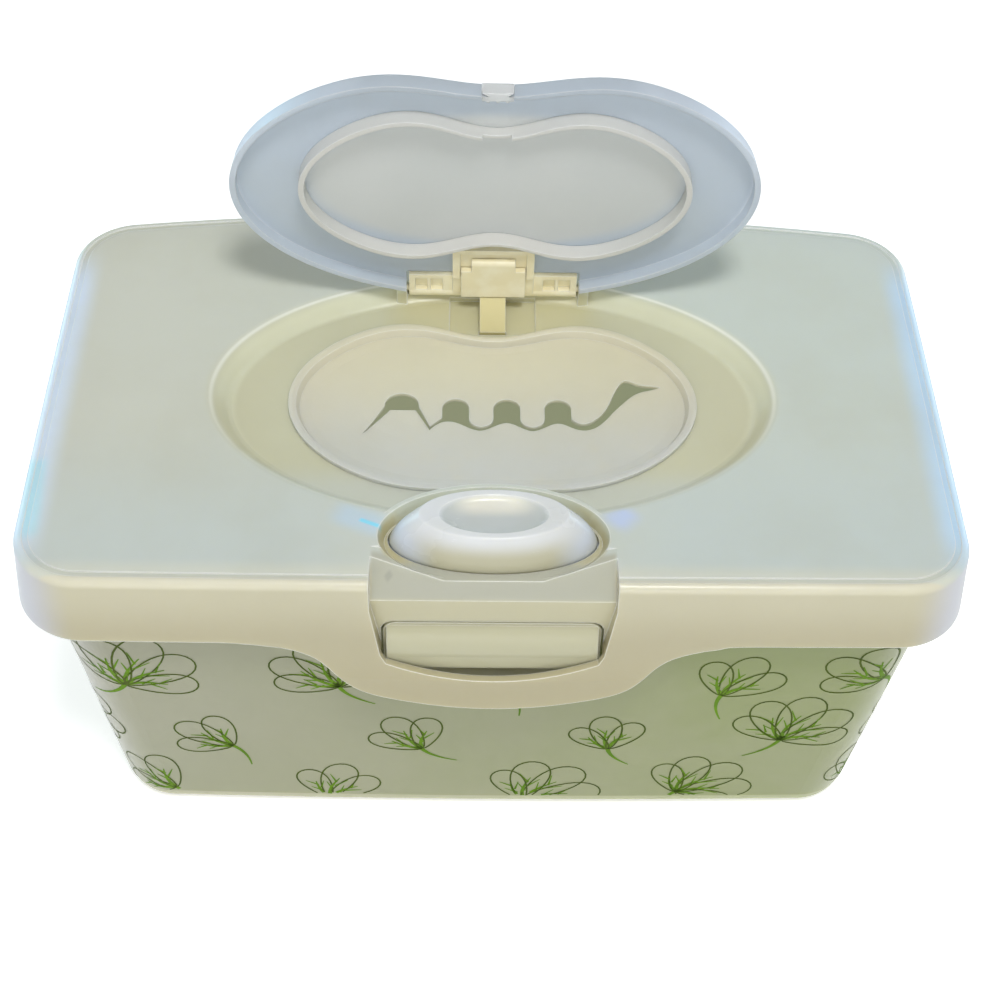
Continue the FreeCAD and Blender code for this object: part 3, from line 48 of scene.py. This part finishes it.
# What the paint follows, in millimetres: an oval is its centre's y, half length and half depth
RECESS = (0.5, 68.2, 41.8)
RECESS_RIM = (0.5, 69.2, 42.8)
BUTTON_WELL = (-46.5, 26.4, 15.0)
BUTTON_DISH = (-44.6, 12.4, 5.9)
POD_HALF_WIDTH = 27.5
POD_SOFT = 0.6
FLIP_MIDDLE_Z = 142.0
SEAL_HALF_SIZES = (47.0, 22.0)
FLIP_HALF_SIZES = (63.6, 37.7)

# Skin of the plastics: depths and radii in millimetres, and how strongly each mark shows
GRAIN_DEPTH = 0.08
WAVE_DEPTH = 1.2
SKIN_DEPTH = 4.0
CLEAR_GRAIN_DEPTH = 0.1
CLEAR_SKIN_DEPTH = 2.0
CLEAR_EDGE_RADIUS = 0.4
EDGE_FACING = (0.995, 0.92)  # how far a rounded normal turns from the face, from no edge to a full one
CLOUD_SHARE = 0.16
SPECK_SHARE = 0.1225
SCUFF_GLOSS = 0.049
PATCH_GLOSS = 0.12
MEAN_GLOSS = 0.06           # taken off, so that the patches swing round the stated roughness

# Printed blossoms on the tub: lengths in millimetres, angles in radians
BLOSSOM_COLUMNS = 13
BLOSSOM_ROWS_Z = (7.0, 33.0, 60.0)
BLOSSOM_SEED = 23
PETAL_LENGTH = 19.0
PETAL_WIDTH = 10.5
PETALS = ((-1.15, 0.86), (1.15, 0.8), (-0.58, 1.02), (0.62, 0.98), (0.02, 1.06))  # angle, size
BUD_PETALS = ((-0.62, 0.86), (0.66, 0.8), (0.0, 0.95))
BUD_SHARE = 0.3
BLOSSOM_SHIFT = 5.0
BLOSSOM_RISE = 3.0
BLOSSOM_LEAN = 0.95         # to each side of upright
BLOSSOM_SIZES = (0.82, 1.08)
STEM_LENGTH = 10.0
STEM_BEND = 0.55
OUTLINE_STEPS = 28
RIB_POINTS = 8
RIB_SHARE = 0.58            # of the petal's length
RIB_WAVE_SHARE = 0.04
RIB_TAPER = 0.11
FORKS = ((0.22, 1), (0.34, -1), (0.45, 1))
FORK_POINTS = 4
FORK_STEP_SHARE = 0.07
FORK_SPREAD_SHARE = 0.085
FORK_WIDTH_SHARE = 0.5
STEM_TAPER = 0.09
LINE_WIDTH = 0.46
RIB_WIDTH = 1.3
INK_LIFT = 0.05
WALL_HALF_WIDTH = 101.0
WALL_HALF_DEPTH = 54.0
WALL_CORNER = 15.0
RAY_START = 25.0
RAY_REACH = 40.0

# Light, floor and camera, in metres
INNER_GLOW = 0.72           # painted glow: emission strength, a share of the light that comes through the tub's walls
INNER_GLOW_FADE = -0.012
FLOOR_GLOW = 0.5
FLOOR_SIZE = 6.0
WORLD_LIGHT = 0.4
WORLD_SEEN = 1.0
CLIP_START = 0.01


def srgb(red, green, blue):
    """Linear colour with alpha from an 8-bit screen colour."""
    def linear(value):
        value /= 255
        return value / 12.92 if value <= 0.04045 else ((value + 0.055) / 1.055) ** 2.4
    return (linear(red), linear(green), linear(blue), 1.0)


class Net:
    """Short calls for building one material's nodes."""

    def __init__(self, name):
        self.material = bpy.data.materials.new(name)
        self.material.use_nodes = True
        self.tree = self.material.node_tree
        self.tree.nodes.clear()
        self.spot = self.add("ShaderNodeTexCoord").outputs["Object"]
        parts = self.add("ShaderNodeSeparateXYZ", {"Vector": self.spot})
        self.x, self.y, self.z = parts.outputs

    def add(self, kind, values=None, **settings):
        node = self.tree.nodes.new(kind)
        for key, value in settings.items():
            setattr(node, key, value)
        for key, value in (values or {}).items():
            self.feed(node.inputs[key], value)
        return node

    def feed(self, socket, value):
        if isinstance(value, bpy.types.NodeSocket):
            self.tree.links.new(value, socket)
        else:
            socket.default_value = value

    def math(self, operation, a, b=0.0):
        return self.add("ShaderNodeMath", {0: a, 1: b}, operation=operation).outputs[0]

    def fade(self, value, low, high):
        """Smooth step from 0 at low to 1 at high."""
        node = self.add("ShaderNodeMapRange", {"Value": value, "From Min": low, "From Max": high},
                        interpolation_type="SMOOTHSTEP")
        return node.outputs["Result"]

    def band(self, value, low, high, soft):
        """Soft band, 1 between low and high."""
        return self.math("MULTIPLY", self.fade(value, low - soft, low + soft),
                         self.fade(value, high + soft, high - soft))

    def oval(self, centre_y, half_length, half_depth):
        """Distance from an oval's centre, 1 on its outline. Sizes in millimetres."""
        across = self.math("DIVIDE", self.x, half_length * MM)
        along = self.math("DIVIDE", self.math("SUBTRACT", self.y, centre_y * MM), half_depth * MM)
        return self.math("SQRT", self.math("ADD", self.math("MULTIPLY", across, across),
                                           self.math("MULTIPLY", along, along)))

    def noise(self, scale, detail=3.0, roughness=0.5, distortion=0.0, vector=None):
        values = {"Vector": vector or self.spot, "Scale": scale, "Detail": detail, "Roughness": roughness,
                  "Distortion": distortion}
        return self.add("ShaderNodeTexNoise", values).outputs["Fac"]

    def mix(self, share, a, b):
        return self.add("ShaderNodeMix", {0: share, 6: a, 7: b}, data_type="RGBA").outputs[2]

    def scaled(self, value, factor):
        return self.math("MULTIPLY", value, factor)

    def product(self, *masks):
        result = masks[0]
        for mask in masks[1:]:
            result = self.math("MULTIPLY", result, mask)
        return result

    def tint(self, colour, mask, share, target):
        """The colour, turned to the target by this share where the mask is 1."""
        return self.mix(self.scaled(mask, share), colour, target)

    def rise(self, value, low, high):
        """Smooth step between two positions in millimetres."""
        return self.fade(value, low * MM, high * MM)

    def between(self, value, low, high, soft):
        """Soft band between two positions in millimetres."""
        return self.band(value, low * MM, high * MM, soft * MM)

    def bump(self, height, strength, distance, normal=None):
        values = {"Height": height, "Strength": strength, "Distance": distance}
        if normal:
            values["Normal"] = normal
        return self.add("ShaderNodeBump", values).outputs["Normal"]

    def dot(self, a, b):
        return self.add("ShaderNodeVectorMath", {0: a, 1: b}, operation="DOT_PRODUCT").outputs["Value"]

    def rounded(self, radius):
        """Normal with the sharp edges rounded, and where those edges are."""
        normal = self.add("ShaderNodeBevel", {"Radius": radius * MM}, samples=6).outputs["Normal"]
        flat = self.add("ShaderNodeNewGeometry").outputs["Normal"]
        return normal, self.fade(self.dot(normal, flat), *EDGE_FACING)

    def streak(self, start, end, half_width, soft):
        """Soft line between two spots of the top, in millimetres."""
        run = math.dist(start, end)
        ahead_x, ahead_y = (end[0] - start[0]) / run, (end[1] - start[1]) / run
        from_x = self.math("SUBTRACT", self.x, start[0] * MM)
        from_y = self.math("SUBTRACT", self.y, start[1] * MM)
        along = self.math("ADD", self.scaled(from_x, ahead_x), self.scaled(from_y, ahead_y))
        across = self.math("ABSOLUTE", self.math("SUBTRACT", self.scaled(from_y, ahead_x),
                                                 self.scaled(from_x, ahead_y)))
        return self.math("MULTIPLY", self.band(along, 0, run * MM, soft * MM),
                         self.fade(across, (half_width + soft) * MM, half_width * MM / 2))

    def finish(self, **values):
        shader = self.add("ShaderNodeBsdfPrincipled", values)
        self.add("ShaderNodeOutputMaterial", {"Surface": shader.outputs[0]})
        return self.material


def inner_glow(net):
    """Painted glow, an emission that stands in for light through the thin walls, on the faces that look
    towards the middle of the base.
    """
    geometry = net.add("ShaderNodeNewGeometry").outputs
    inward = net.dot(geometry["Normal"], geometry["Position"])
    return net.scaled(net.fade(inward, 0.0, INNER_GLOW_FADE), INNER_GLOW)


def plastic(name, paint, roughness=0.36, cloudy=0.6, edge=0.35, grain=0.12, edge_light=0.55, painted_glow=False):
    """Milky moulded plastic: painted colour, cloudiness, painted highlights on rounded edges, grain and
    scuffs.
    """
    net = Net(name)
    colour = paint(net)
    patches = net.fade(net.noise(28, 4, 0.6), 0.35, 0.75)
    colour = net.tint(colour, patches, CLOUD_SHARE, srgb(184, 180, 152))
    specks = net.fade(net.noise(2600, 2, 0.6), 0.72, 0.80)
    colour = net.tint(colour, specks, SPECK_SHARE, srgb(150, 146, 124))
    stretched = net.add("ShaderNodeMapping", {"Vector": net.spot, "Scale": (0.25, 1.0, 1.0),
                                              "Rotation": (0.2, 0.1, 0.7)}).outputs[0]
    scuffs = net.fade(net.noise(420, 5, 0.7, 1.2, stretched), 0.62, 0.74)
    gloss = net.math("ADD", net.scaled(scuffs, SCUFF_GLOSS), net.scaled(net.noise(60, 3), PATCH_GLOSS))
    rough = net.math("ADD", gloss, roughness - MEAN_GLOSS)
    rounded, edge_highlights = net.rounded(edge)
    # painted highlight: paler colour along the sharp edges
    colour = net.tint(colour, edge_highlights, edge_light, srgb(246, 247, 242))
    fine = net.bump(net.noise(1500, 3, 0.6), grain, GRAIN_DEPTH * MM, rounded)
    wavy = net.bump(net.noise(55, 2, 0.5), 0.08, WAVE_DEPTH * MM, fine)
    values = {"Base Color": colour, "Roughness": rough, "Normal": wavy, "IOR": 1.49,
              "Subsurface Weight": cloudy, "Subsurface Radius": (1.0, 0.97, 0.8),
              "Subsurface Scale": SKIN_DEPTH * MM}
    # painted glow: emission on the inner faces
    if painted_glow:
        values["Emission Color"] = srgb(134, 138, 122)
        values["Emission Strength"] = inner_glow(net)
    return net.finish(**values)


# What is painted on each material

def paint_plateau(net, across):
    """Cool top with painted blue reflections at its ends and in streaks, creamy along its front edge."""
    top = net.mix(net.rise(net.x, -110, 110), srgb(210, 212, 199), srgb(206, 215, 207))
    # painted bluish reflection on the plateau towards the front, at both sides of the pod
    front = net.product(net.rise(net.y, -5, -50), net.rise(across, 15, 50))
    top = net.tint(top, front, 0.6, srgb(198, 209, 208))
    top = net.tint(top, net.rise(net.y, -53.5, -58), 0.7, srgb(219, 220, 204))
    # painted reflections of the blue side light along the lid's ends, with a brighter streak at the left
    ends = net.product(net.rise(across, 99.5, 106), net.between(net.y, -51, 45, 9))
    sky = net.mix(net.rise(net.x, -50, 50), srgb(222, 238, 255), srgb(200, 230, 255))
    sky = net.mix(net.streak((-106.5, -24), (-104.5, -48), 1.6, 2.0), sky, srgb(196, 240, 255))
    top = net.tint(top, ends, 0.92, sky)
    # painted blue reflections: a glow and a thin bright streak left of the pod, a patch right of it
    glow = net.streak((-36, -39.5), (-24.5, -44.5), 2.2, 3.0)
    top = net.tint(top, glow, 0.5, srgb(192, 220, 244))
    top = net.mix(net.streak((-30.5, -42), (-25, -44.4), 0.45, 0.4), top, srgb(150, 226, 255))
    blue_reflection_patch = net.streak((27, -38.5), (31.5, -42.5), 2.4, 2.6)
    top = net.tint(top, blue_reflection_patch, 0.8, srgb(197, 213, 247))
    return net.mix(net.rise(net.y, -58.8, -59.8), top, srgb(222, 218, 196))


def paint_skirt(net, across):
    """Creamy skirt with painted shade that darkens it downwards, and a painted bluish reflection at the
    lid's ends.
    """
    # painted shade: darker towards the skirt's lower edge
    low = net.mix(net.rise(net.z, 66, 86), srgb(182, 174, 141), srgb(188, 181, 151))
    skirt = net.mix(net.rise(net.z, 85.5, 101), low, srgb(205, 200, 173))
    return net.tint(skirt, net.rise(across, 94, 106), 0.75, srgb(204, 209, 226))


def paint_recess(net, colour, inside):
    """Yellower oval with painted highlights on its sloping edge and rim, both stronger at the rear."""
    colour = net.tint(colour, inside, 0.85, srgb(210, 210, 182))
    rear = net.math("ADD", net.scaled(net.rise(net.y, -25, 12), 0.75), 0.25)
    # painted highlight on the sloping edge of the recess
    slope_highlight = net.product(net.band(net.oval(*RECESS), 0.925, 0.988, 0.014), rear)
    colour = net.tint(colour, slope_highlight, 0.6, srgb(226, 228, 204))
    # painted highlight along the recess's rim
    rim = net.product(net.band(net.oval(*RECESS_RIM), 0.985, 0.997, 0.006), rear)
    return net.tint(colour, rim, 0.7, srgb(244, 246, 234))


def paint_pod(net, colour):
    """Grey facet with the painted shade of a small dent over the thumb recess, and the creamy face below
    it.
    """
    pod = net.product(net.between(net.x, -POD_HALF_WIDTH, POD_HALF_WIDTH, POD_SOFT),
                      net.rise(net.y, -50.5, -52.5))
    facet = net.product(pod, net.rise(net.z, 96.2, 97.6))
    colour = net.mix(facet, colour, srgb(188, 189, 174))
    below = net.product(pod, net.rise(net.z, 97.6, 96.2), net.rise(net.y, -60.8, -60.2))
    colour = net.tint(colour, below, 0.85, srgb(201, 197, 166))
    # painted shade of the small dent on the facet
    dimple_shade = net.product(facet, net.streak((-24.2, -56.6), (-22.9, -55.6), 0.5, 0.5))
    return net.tint(colour, dimple_shade, 0.4, srgb(150, 150, 140))


def paint_lid(net):
    """Plateau, skirt, recess and pod, with stains round the button and a yellower hinge pocket."""
    across = net.math("ABSOLUTE", net.x)
    colour = net.mix(net.rise(net.z, 101.5, 103.6), paint_skirt(net, across), paint_plateau(net, across))
    inside = net.fade(net.oval(*RECESS), 1.04, 0.98)
    colour = paint_recess(net, colour, inside)
    colour = paint_pod(net, colour)
    trough = net.product(net.fade(net.oval(*BUTTON_WELL), 1.02, 0.97), net.rise(net.y, -53.5, -50.5))
    colour = net.tint(colour, trough, 0.5, srgb(205, 204, 176))
    front = net.product(inside, net.between(net.y, -43, -24, 5))
    colour = net.tint(colour, front, 0.5, srgb(204, 212, 212))
    blotches = net.fade(net.noise(110, 3, 0.5), 0.2, 0.7)
    stain = net.product(trough, net.rise(across, 15, 24), blotches)
    colour = net.tint(colour, stain, 0.7, srgb(196, 184, 128))
    pocket = net.product(net.between(net.x, -26, 26, 4), net.between(net.y, 25, 41, 3),
                         net.rise(net.z, 104.2, 103.0))
    return net.tint(colour, pocket, 0.5, srgb(208, 202, 160))


def paint_bowl(net):
    """Plastic of the tub where no film covers it."""
    return net.mix(net.rise(net.x, -90, 100), srgb(194, 193, 164), srgb(182, 188, 142))


def paint_tub(net):
    """Wall over the product: pale at the left, greener at the right of the front and lower down."""
    side = net.product(net.rise(net.x, -90, 100), net.rise(net.y, 30, -35))
    colour = net.mix(side, srgb(172, 174, 136), srgb(140, 158, 72))
    colour = net.tint(colour, net.rise(net.z, 50, 0), 0.3, srgb(162, 170, 114))
    return net.tint(colour, net.rise(net.x, -88, -100), 0.5, srgb(206, 206, 192))


def paint_insert(net):
    """Soft sheet with faint folds, creamier to the rear and greyer in front."""
    colour = net.mix(net.rise(net.y, -22, 20), srgb(211, 212, 204), srgb(226, 219, 190))
    fold = net.fade(net.noise(90, 3, 0.6), 0.45, 0.8)
    return net.tint(colour, fold, 0.25, srgb(222, 214, 184))


def paint_cream(net):
    return net.mix(net.fade(net.noise(200, 3), 0.3, 0.7), srgb(242, 232, 194), srgb(250, 243, 212))


def paint_strap(net):
    return net.mix(net.rise(net.z, 98, 104), srgb(204, 194, 139), srgb(216, 206, 154))


def paint_button(net):
    """Creamy sides, painted bluish reflections at the ends, pale shoulder, and a dish with a painted
    highlight behind, grey in front.
    """
    across = net.math("ABSOLUTE", net.x)
    # painted bluish reflection at the button's ends
    low = net.mix(net.rise(across, 12, 21), srgb(192, 189, 162), srgb(211, 219, 230))
    colour = net.mix(net.rise(net.z, 103.5, 108.5), low, srgb(224, 227, 228))
    dish = net.fade(net.oval(*BUTTON_DISH), 1.04, 0.9)
    # painted highlight across the rear of the dish
    shine = net.product(net.rise(net.y, -45.0, -41.2), net.rise(across, 11.5, 4))
    inner = net.mix(shine, srgb(197, 204, 202), srgb(246, 244, 226))
    return net.tint(colour, dish, 0.85, inner)


def paint_tongue(net):
    return net.mix(net.rise(net.y, -60.8, -60.0), srgb(194, 192, 163), srgb(187, 184, 153))


def paint_inner(net):
    return net.mix(net.noise(80, 2), srgb(200, 200, 184), srgb(206, 204, 186))


def upright_oval(net, half_sizes):
    """Squared distance from the middle of the open flip lid, 1 on an oval of these half sizes."""
    high = net.math("SUBTRACT", net.z, FLIP_MIDDLE_Z * MM)
    parts = [net.math("POWER", net.math("ABSOLUTE", net.scaled(value, 1 / (half * MM))), 2.0)
             for value, half in zip((net.x, high), half_sizes)]
    return net.math("ADD", *parts)


def paint_flip(net):
    """Bluish panel, greyer inside the seal ring, with a pale rim."""
    inner = net.fade(upright_oval(net, SEAL_HALF_SIZES), 1.1, 0.8)
    rim = net.fade(upright_oval(net, FLIP_HALF_SIZES), 0.92, 0.96)
    colour = net.mix(inner, srgb(208, 218, 228), srgb(224, 226, 224))
    return net.tint(colour, rim, 0.6, srgb(232, 240, 250))


def paint_ring(net):
    return net.mix(net.noise(60, 2), srgb(226, 225, 218), srgb(231, 230, 226))


def paint_lug(net):
    return net.mix(net.noise(60, 2), srgb(238, 240, 240), srgb(246, 248, 248))


def clear_plastic(name, paint, see_through, roughness):
    """Frosted see-through plastic of the flip lid."""
    net = Net(name)
    cloud = net.fade(net.noise(24, 4, 0.6), 0.3, 0.75)
    colour = net.tint(paint(net), cloud, 0.3, srgb(202, 208, 206))
    rounded, edge_highlights = net.rounded(CLEAR_EDGE_RADIUS)
    # painted highlight: paler colour along the sharp edges
    colour = net.tint(colour, edge_highlights, 0.6, srgb(250, 251, 252))
    fine = net.bump(net.noise(900, 3, 0.6), 0.15, CLEAR_GRAIN_DEPTH * MM, rounded)
    rough = net.math("ADD", net.scaled(net.noise(50, 3), 0.15), roughness)
    return net.finish(**{"Base Color": colour, "Roughness": rough, "Normal": fine, "IOR": 1.49,
                         "Transmission Weight": see_through, "Subsurface Weight": 0.2,
                         "Subsurface Radius": (1.0, 1.0, 1.0), "Subsurface Scale": CLEAR_SKIN_DEPTH * MM})


def film(name):
    """Glossy printed film over the tub."""
    net = Net(name)
    colour = paint_tub(net)
    cloud = net.fade(net.noise(18, 4, 0.6, 0.4), 0.35, 0.7)
    colour = net.tint(colour, cloud, 0.3, srgb(184, 184, 146))
    wavy = net.bump(net.noise(32, 2, 0.5), 0.25, WAVE_DEPTH * MM)
    rough = net.math("ADD", net.scaled(net.noise(45, 3), 0.14), 0.24)
    return net.finish(**{"Base Color": colour, "Roughness": rough, "Normal": wavy, "IOR": 1.46,
                         "Subsurface Weight": 0.6, "Subsurface Radius": (0.95, 1.0, 0.8),
                         "Subsurface Scale": SKIN_DEPTH * MM,
                         "Coat Weight": 0.25, "Coat Roughness": 0.12})


def ink(name, bright, dark):
    """Printing ink that thins out in places."""
    net = Net(name)
    colour = net.mix(net.fade(net.noise(240, 4, 0.6), 0.35, 0.7), bright, dark)
    return net.finish(**{"Base Color": colour, "Roughness": 0.6, "IOR": 1.3})


def steel(name):
    net = Net(name)
    streaks = net.noise(900, 3, 0.5)
    colour = net.mix(streaks, srgb(176, 176, 174), srgb(206, 206, 204))
    return net.finish(**{"Base Color": colour, "Metallic": 1.0, "Roughness": 0.3})


def dress(names, material):
    for name in names:
        mesh = nodes[name].data
        mesh.materials.clear()
        mesh.materials.append(material)


dress(["main_lid"], plastic("lid_plastic", paint_lid, 0.31, edge_light=0.85))
dress(["latch_tongue"], plastic("tongue_plastic", paint_tongue, 0.34))
dress(["orifice_insert"], plastic("insert_rubber", paint_insert, 0.5, 0.6, 0.3, 0.3))
dress(["orifice_frame", "latch_retainer", "latch_slider", "rear_hinge_pin_left", "rear_hinge_pin_right",
       "strap_anchor"], plastic("inner_plastic", paint_inner))
dress(["push_button"], plastic("button_plastic", paint_button, 0.26, 0.5, 0.5))
dress(["hinge_carrier", "strap_clip", "flip_hinge_pin_left", "flip_hinge_pin_right"],
      plastic("hinge_plastic", paint_cream, 0.38, 0.2, 0.25))
dress(["spring_strap"], plastic("strap_rubber", paint_strap, 0.5, 0.25, 0.3))
dress(["tub"], plastic("tub_plastic", paint_bowl, 0.34, 0.7, painted_glow=True))
dress(["tub_wrap"], film("tub_film"))
dress(["flip_lid"], clear_plastic("flip_clear", paint_flip, 0.35, 0.3))
dress(["flip_seal_ring"], clear_plastic("ring_clear", paint_ring, 0.15, 0.3))
dress(["catch_lug"], clear_plastic("lug_clear", paint_lug, 0.35, 0.2))
dress(["button_spring"], steel("spring_steel"))


# Printed blossoms

def wall_point(along):
    """Spot and outward direction at this distance round the wall, starting at the front's left end."""
    straight_x = 2 * (WALL_HALF_WIDTH - WALL_CORNER)
    straight_y = 2 * (WALL_HALF_DEPTH - WALL_CORNER)
    turn = WALL_CORNER * math.pi / 2
    along %= 2 * (straight_x + straight_y) + 4 * turn
    heading = 0.0
    spot = Vector((WALL_CORNER - WALL_HALF_WIDTH, -WALL_HALF_DEPTH))
    for straight in (straight_x, straight_y, straight_x, straight_y):
        ahead = Vector((math.cos(heading), math.sin(heading)))
        out = Vector((ahead.y, -ahead.x))
        if along <= straight:
            return spot + ahead * along, out
        along -= straight
        spot = spot + ahead * straight
        if along <= turn:
            angle = along / WALL_CORNER
            centre = spot - out * WALL_CORNER
            swung = Matrix.Rotation(angle, 2) @ out
            return centre + swung * WALL_CORNER, swung
        along -= turn
        spot = spot - out * WALL_CORNER + ahead * WALL_CORNER
        heading += math.pi / 2
    return spot, out


def on_wrap(tree, along, height):
    """Point on the film, or None where the film has its window."""
    spot, out = wall_point(along)
    start = Vector((spot.x + out.x * RAY_START, spot.y + out.y * RAY_START, height)) * MM
    hit, normal, _, _ = tree.ray_cast(start, Vector((-out.x, -out.y, 0)), RAY_REACH * MM)
    if hit is None:
        return None
    if normal.dot(Vector((out.x, out.y, 0))) < 0:
        normal = -normal
    return hit + normal * INK_LIFT * MM


def ribbon(mesh, tree, points, widths):
    """Flat stroke along points of the wall, (along, height) in millimetres."""
    last = None
    for k, (along, height) in enumerate(points):
        before = points[max(k - 1, 0)]
        after = points[min(k + 1, len(points) - 1)]
        ahead = Vector((after[0] - before[0], after[1] - before[1]))
        if ahead.length == 0:
            continue
        side = Vector((-ahead.y, ahead.x)).normalized() * widths[k] / 2
        pair = [on_wrap(tree, along + side.x * s, height + side.y * s) for s in (1, -1)]
        if None in pair:
            last = None
            continue
        verts = [mesh.verts.new(p) for p in pair]
        if last:
            mesh.faces.new((last[0], last[1], verts[1], verts[0]))
        last = verts


def turned(point, origin, angle):
    """A point of a motif, turned and moved to its origin on the wall."""
    cosine, sine = math.cos(angle), math.sin(angle)
    return (origin[0] + point[0] * cosine - point[1] * sine,
            origin[1] + point[0] * sine + point[1] * cosine)


def petal(lines, ribs, tree, origin, angle, length, width):
    """Outlined petal with a strong rib that forks from its foot."""
    outline = []
    for k in range(OUTLINE_STEPS + 1):
        turn = 2 * math.pi * k / OUTLINE_STEPS
        share = (1 - math.cos(turn)) / 2
        swell = width / 2 * math.sin(turn) * (0.55 + 0.65 * share)
        outline.append(turned((length * share, swell), origin, angle))
    ribbon(lines, tree, outline, [LINE_WIDTH] * len(outline))
    reach = length * RIB_SHARE / (RIB_POINTS - 1)
    wave = length * RIB_WAVE_SHARE
    rib = [turned((reach * k, wave * math.sin(k / 2)), origin, angle) for k in range(RIB_POINTS)]
    ribbon(ribs, tree, rib, [RIB_WIDTH * (1 - RIB_TAPER * k) for k in range(RIB_POINTS)])
    for start, side in FORKS:
        fork = [turned((length * (start + FORK_STEP_SHARE * k), side * width * FORK_SPREAD_SHARE * k),
                       origin, angle) for k in range(FORK_POINTS)]
        ribbon(ribs, tree, fork, [RIB_WIDTH * (FORK_WIDTH_SHARE - RIB_TAPER * k)
                                  for k in range(FORK_POINTS)])


def blossom(lines, ribs, tree, origin, angle, size, petals, bend):
    """Open blossom seen from the side, with a curled stem."""
    for turn, reach in petals:
        scale = size * reach
        petal(lines, ribs, tree, origin, angle + turn, PETAL_LENGTH * scale, PETAL_WIDTH * scale)
    length = STEM_LENGTH * size
    stem = [turned((-length * k / RIB_POINTS, bend * length * (k / RIB_POINTS) ** 2), origin, angle)
            for k in range(RIB_POINTS + 1)]
    ribbon(ribs, tree, stem, [RIB_WIDTH * (1 - STEM_TAPER * k) for k in range(RIB_POINTS + 1)])


def make_print():
    tree = BVHTree.FromObject(nodes["tub_wrap"], bpy.context.evaluated_depsgraph_get())
    lines, ribs = bmesh.new(), bmesh.new()
    chance = random.Random(BLOSSOM_SEED)
    around = 4 * (WALL_HALF_WIDTH + WALL_HALF_DEPTH - 2 * WALL_CORNER) + 2 * math.pi * WALL_CORNER
    pitch = around / BLOSSOM_COLUMNS
    for row, height in enumerate(BLOSSOM_ROWS_Z):
        for column in range(BLOSSOM_COLUMNS):
            shift = chance.uniform(-BLOSSOM_SHIFT, BLOSSOM_SHIFT)
            along = (column + 0.5 * (row % 2)) * pitch + shift
            angle = math.pi / 2 + chance.uniform(-BLOSSOM_LEAN, BLOSSOM_LEAN)
            size = chance.uniform(*BLOSSOM_SIZES)
            petals = BUD_PETALS if chance.random() < BUD_SHARE else PETALS
            spot = (along, height + chance.uniform(-BLOSSOM_RISE, BLOSSOM_RISE))
            bend = chance.choice((-STEM_BEND, STEM_BEND))
            blossom(lines, ribs, tree, spot, angle, size, petals, bend)
    dark = ink("ink_dark", srgb(78, 96, 6), srgb(64, 80, 4))
    bright = ink("ink_bright", srgb(104, 146, 0), srgb(88, 128, 0))
    for name, mesh, material in (("print_lines", lines, dark), ("print_ribs", ribs, bright)):
        data = bpy.data.meshes.new(name)
        mesh.to_mesh(data)
        mesh.free()
        data.materials.append(material)
        piece = bpy.data.objects.new(name, data)
        bpy.context.scene.collection.objects.link(piece)
        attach(piece, "tub")


make_print()


# Floor, lights and camera

def make_floor():
    bpy.ops.mesh.primitive_plane_add(size=FLOOR_SIZE, location=(0, 0, 0))
    floor = bpy.context.object
    floor.name = "floor"
    net = Net("floor_paper")
    rays = net.add("ShaderNodeLightPath").outputs
    seen = net.math("MAXIMUM", rays["Is Camera Ray"],
                    net.math("MAXIMUM", rays["Is Glossy Ray"], rays["Is Transmission Ray"]))
    colour = net.mix(net.noise(2.0, 2), srgb(247, 247, 246), srgb(250, 250, 250))
    floor.data.materials.append(net.finish(**{
        "Base Color": colour, "Roughness": 0.9, "Emission Color": (1, 1, 1, 1),
        "Emission Strength": net.scaled(seen, FLOOR_GLOW)}))


def make_world():
    world = bpy.data.worlds.new("studio")
    bpy.context.scene.world = world
    world.use_nodes = True
    tree = world.node_tree
    tree.nodes.clear()
    rays = tree.nodes.new("ShaderNodeLightPath").outputs
    seen = tree.nodes.new("ShaderNodeMath")
    seen.operation = "MAXIMUM"
    tree.links.new(rays["Is Camera Ray"], seen.inputs[0])
    tree.links.new(rays["Is Transmission Ray"], seen.inputs[1])
    level = tree.nodes.new("ShaderNodeMapRange")
    level.inputs["To Min"].default_value = WORLD_LIGHT
    level.inputs["To Max"].default_value = WORLD_SEEN
    tree.links.new(seen.outputs[0], level.inputs["Value"])
    sky = tree.nodes.new("ShaderNodeBackground")
    sky.inputs["Color"].default_value = (1, 1, 1, 1)
    tree.links.new(level.outputs["Result"], sky.inputs["Strength"])
    output = tree.nodes.new("ShaderNodeOutputWorld")
    tree.links.new(sky.outputs[0], output.inputs["Surface"])


def lamp(name, spot, target, size, power, colour=(1, 1, 1)):
    data = bpy.data.lights.new(name, "AREA")
    data.shape = "RECTANGLE"
    data.size, data.size_y = size
    data.energy = power
    data.color = colour
    light = bpy.data.objects.new(name, data)
    bpy.context.scene.collection.objects.link(light)
    light.location = spot
    light.rotation_euler = (Vector(target) - Vector(spot)).to_track_quat("-Z", "Y").to_euler()


def make_camera():
    data = bpy.data.cameras.new("camera")
    data.sensor_fit = "HORIZONTAL"
    data.sensor_width = SENSOR_MM
    data.lens = LENS_MM
    data.clip_start = CLIP_START
    camera = bpy.data.objects.new("camera", data)
    bpy.context.scene.collection.objects.link(camera)
    axes = Matrix((CAMERA_RIGHT, CAMERA_UP, [-v for v in CAMERA_AHEAD])).transposed().to_4x4()
    camera.matrix_world = Matrix.Translation(CAMERA_SPOT) @ axes
    bpy.context.scene.camera = camera


make_floor()
make_world()
lamp("key", (0.08, -0.42, 1.05), (0, 0, 0.1), (0.2, 0.2), 5.4)
lamp("front", (-0.15, -1.3, 0.35), (0, 0, 0.07), (0.9, 0.5), 3.4)
lamp("blue_left", (-0.75, 0.62, 0.24), (-0.08, 0, 0.09), (0.5, 0.4), 2.6, (0.45, 0.8, 1.0))
lamp("blue_right", (0.8, 0.6, 0.24), (0.08, 0, 0.09), (0.5, 0.4), 2.2, (0.6, 0.8, 1.0))
make_camera()
bpy.context.scene.view_settings.view_transform = "Standard"
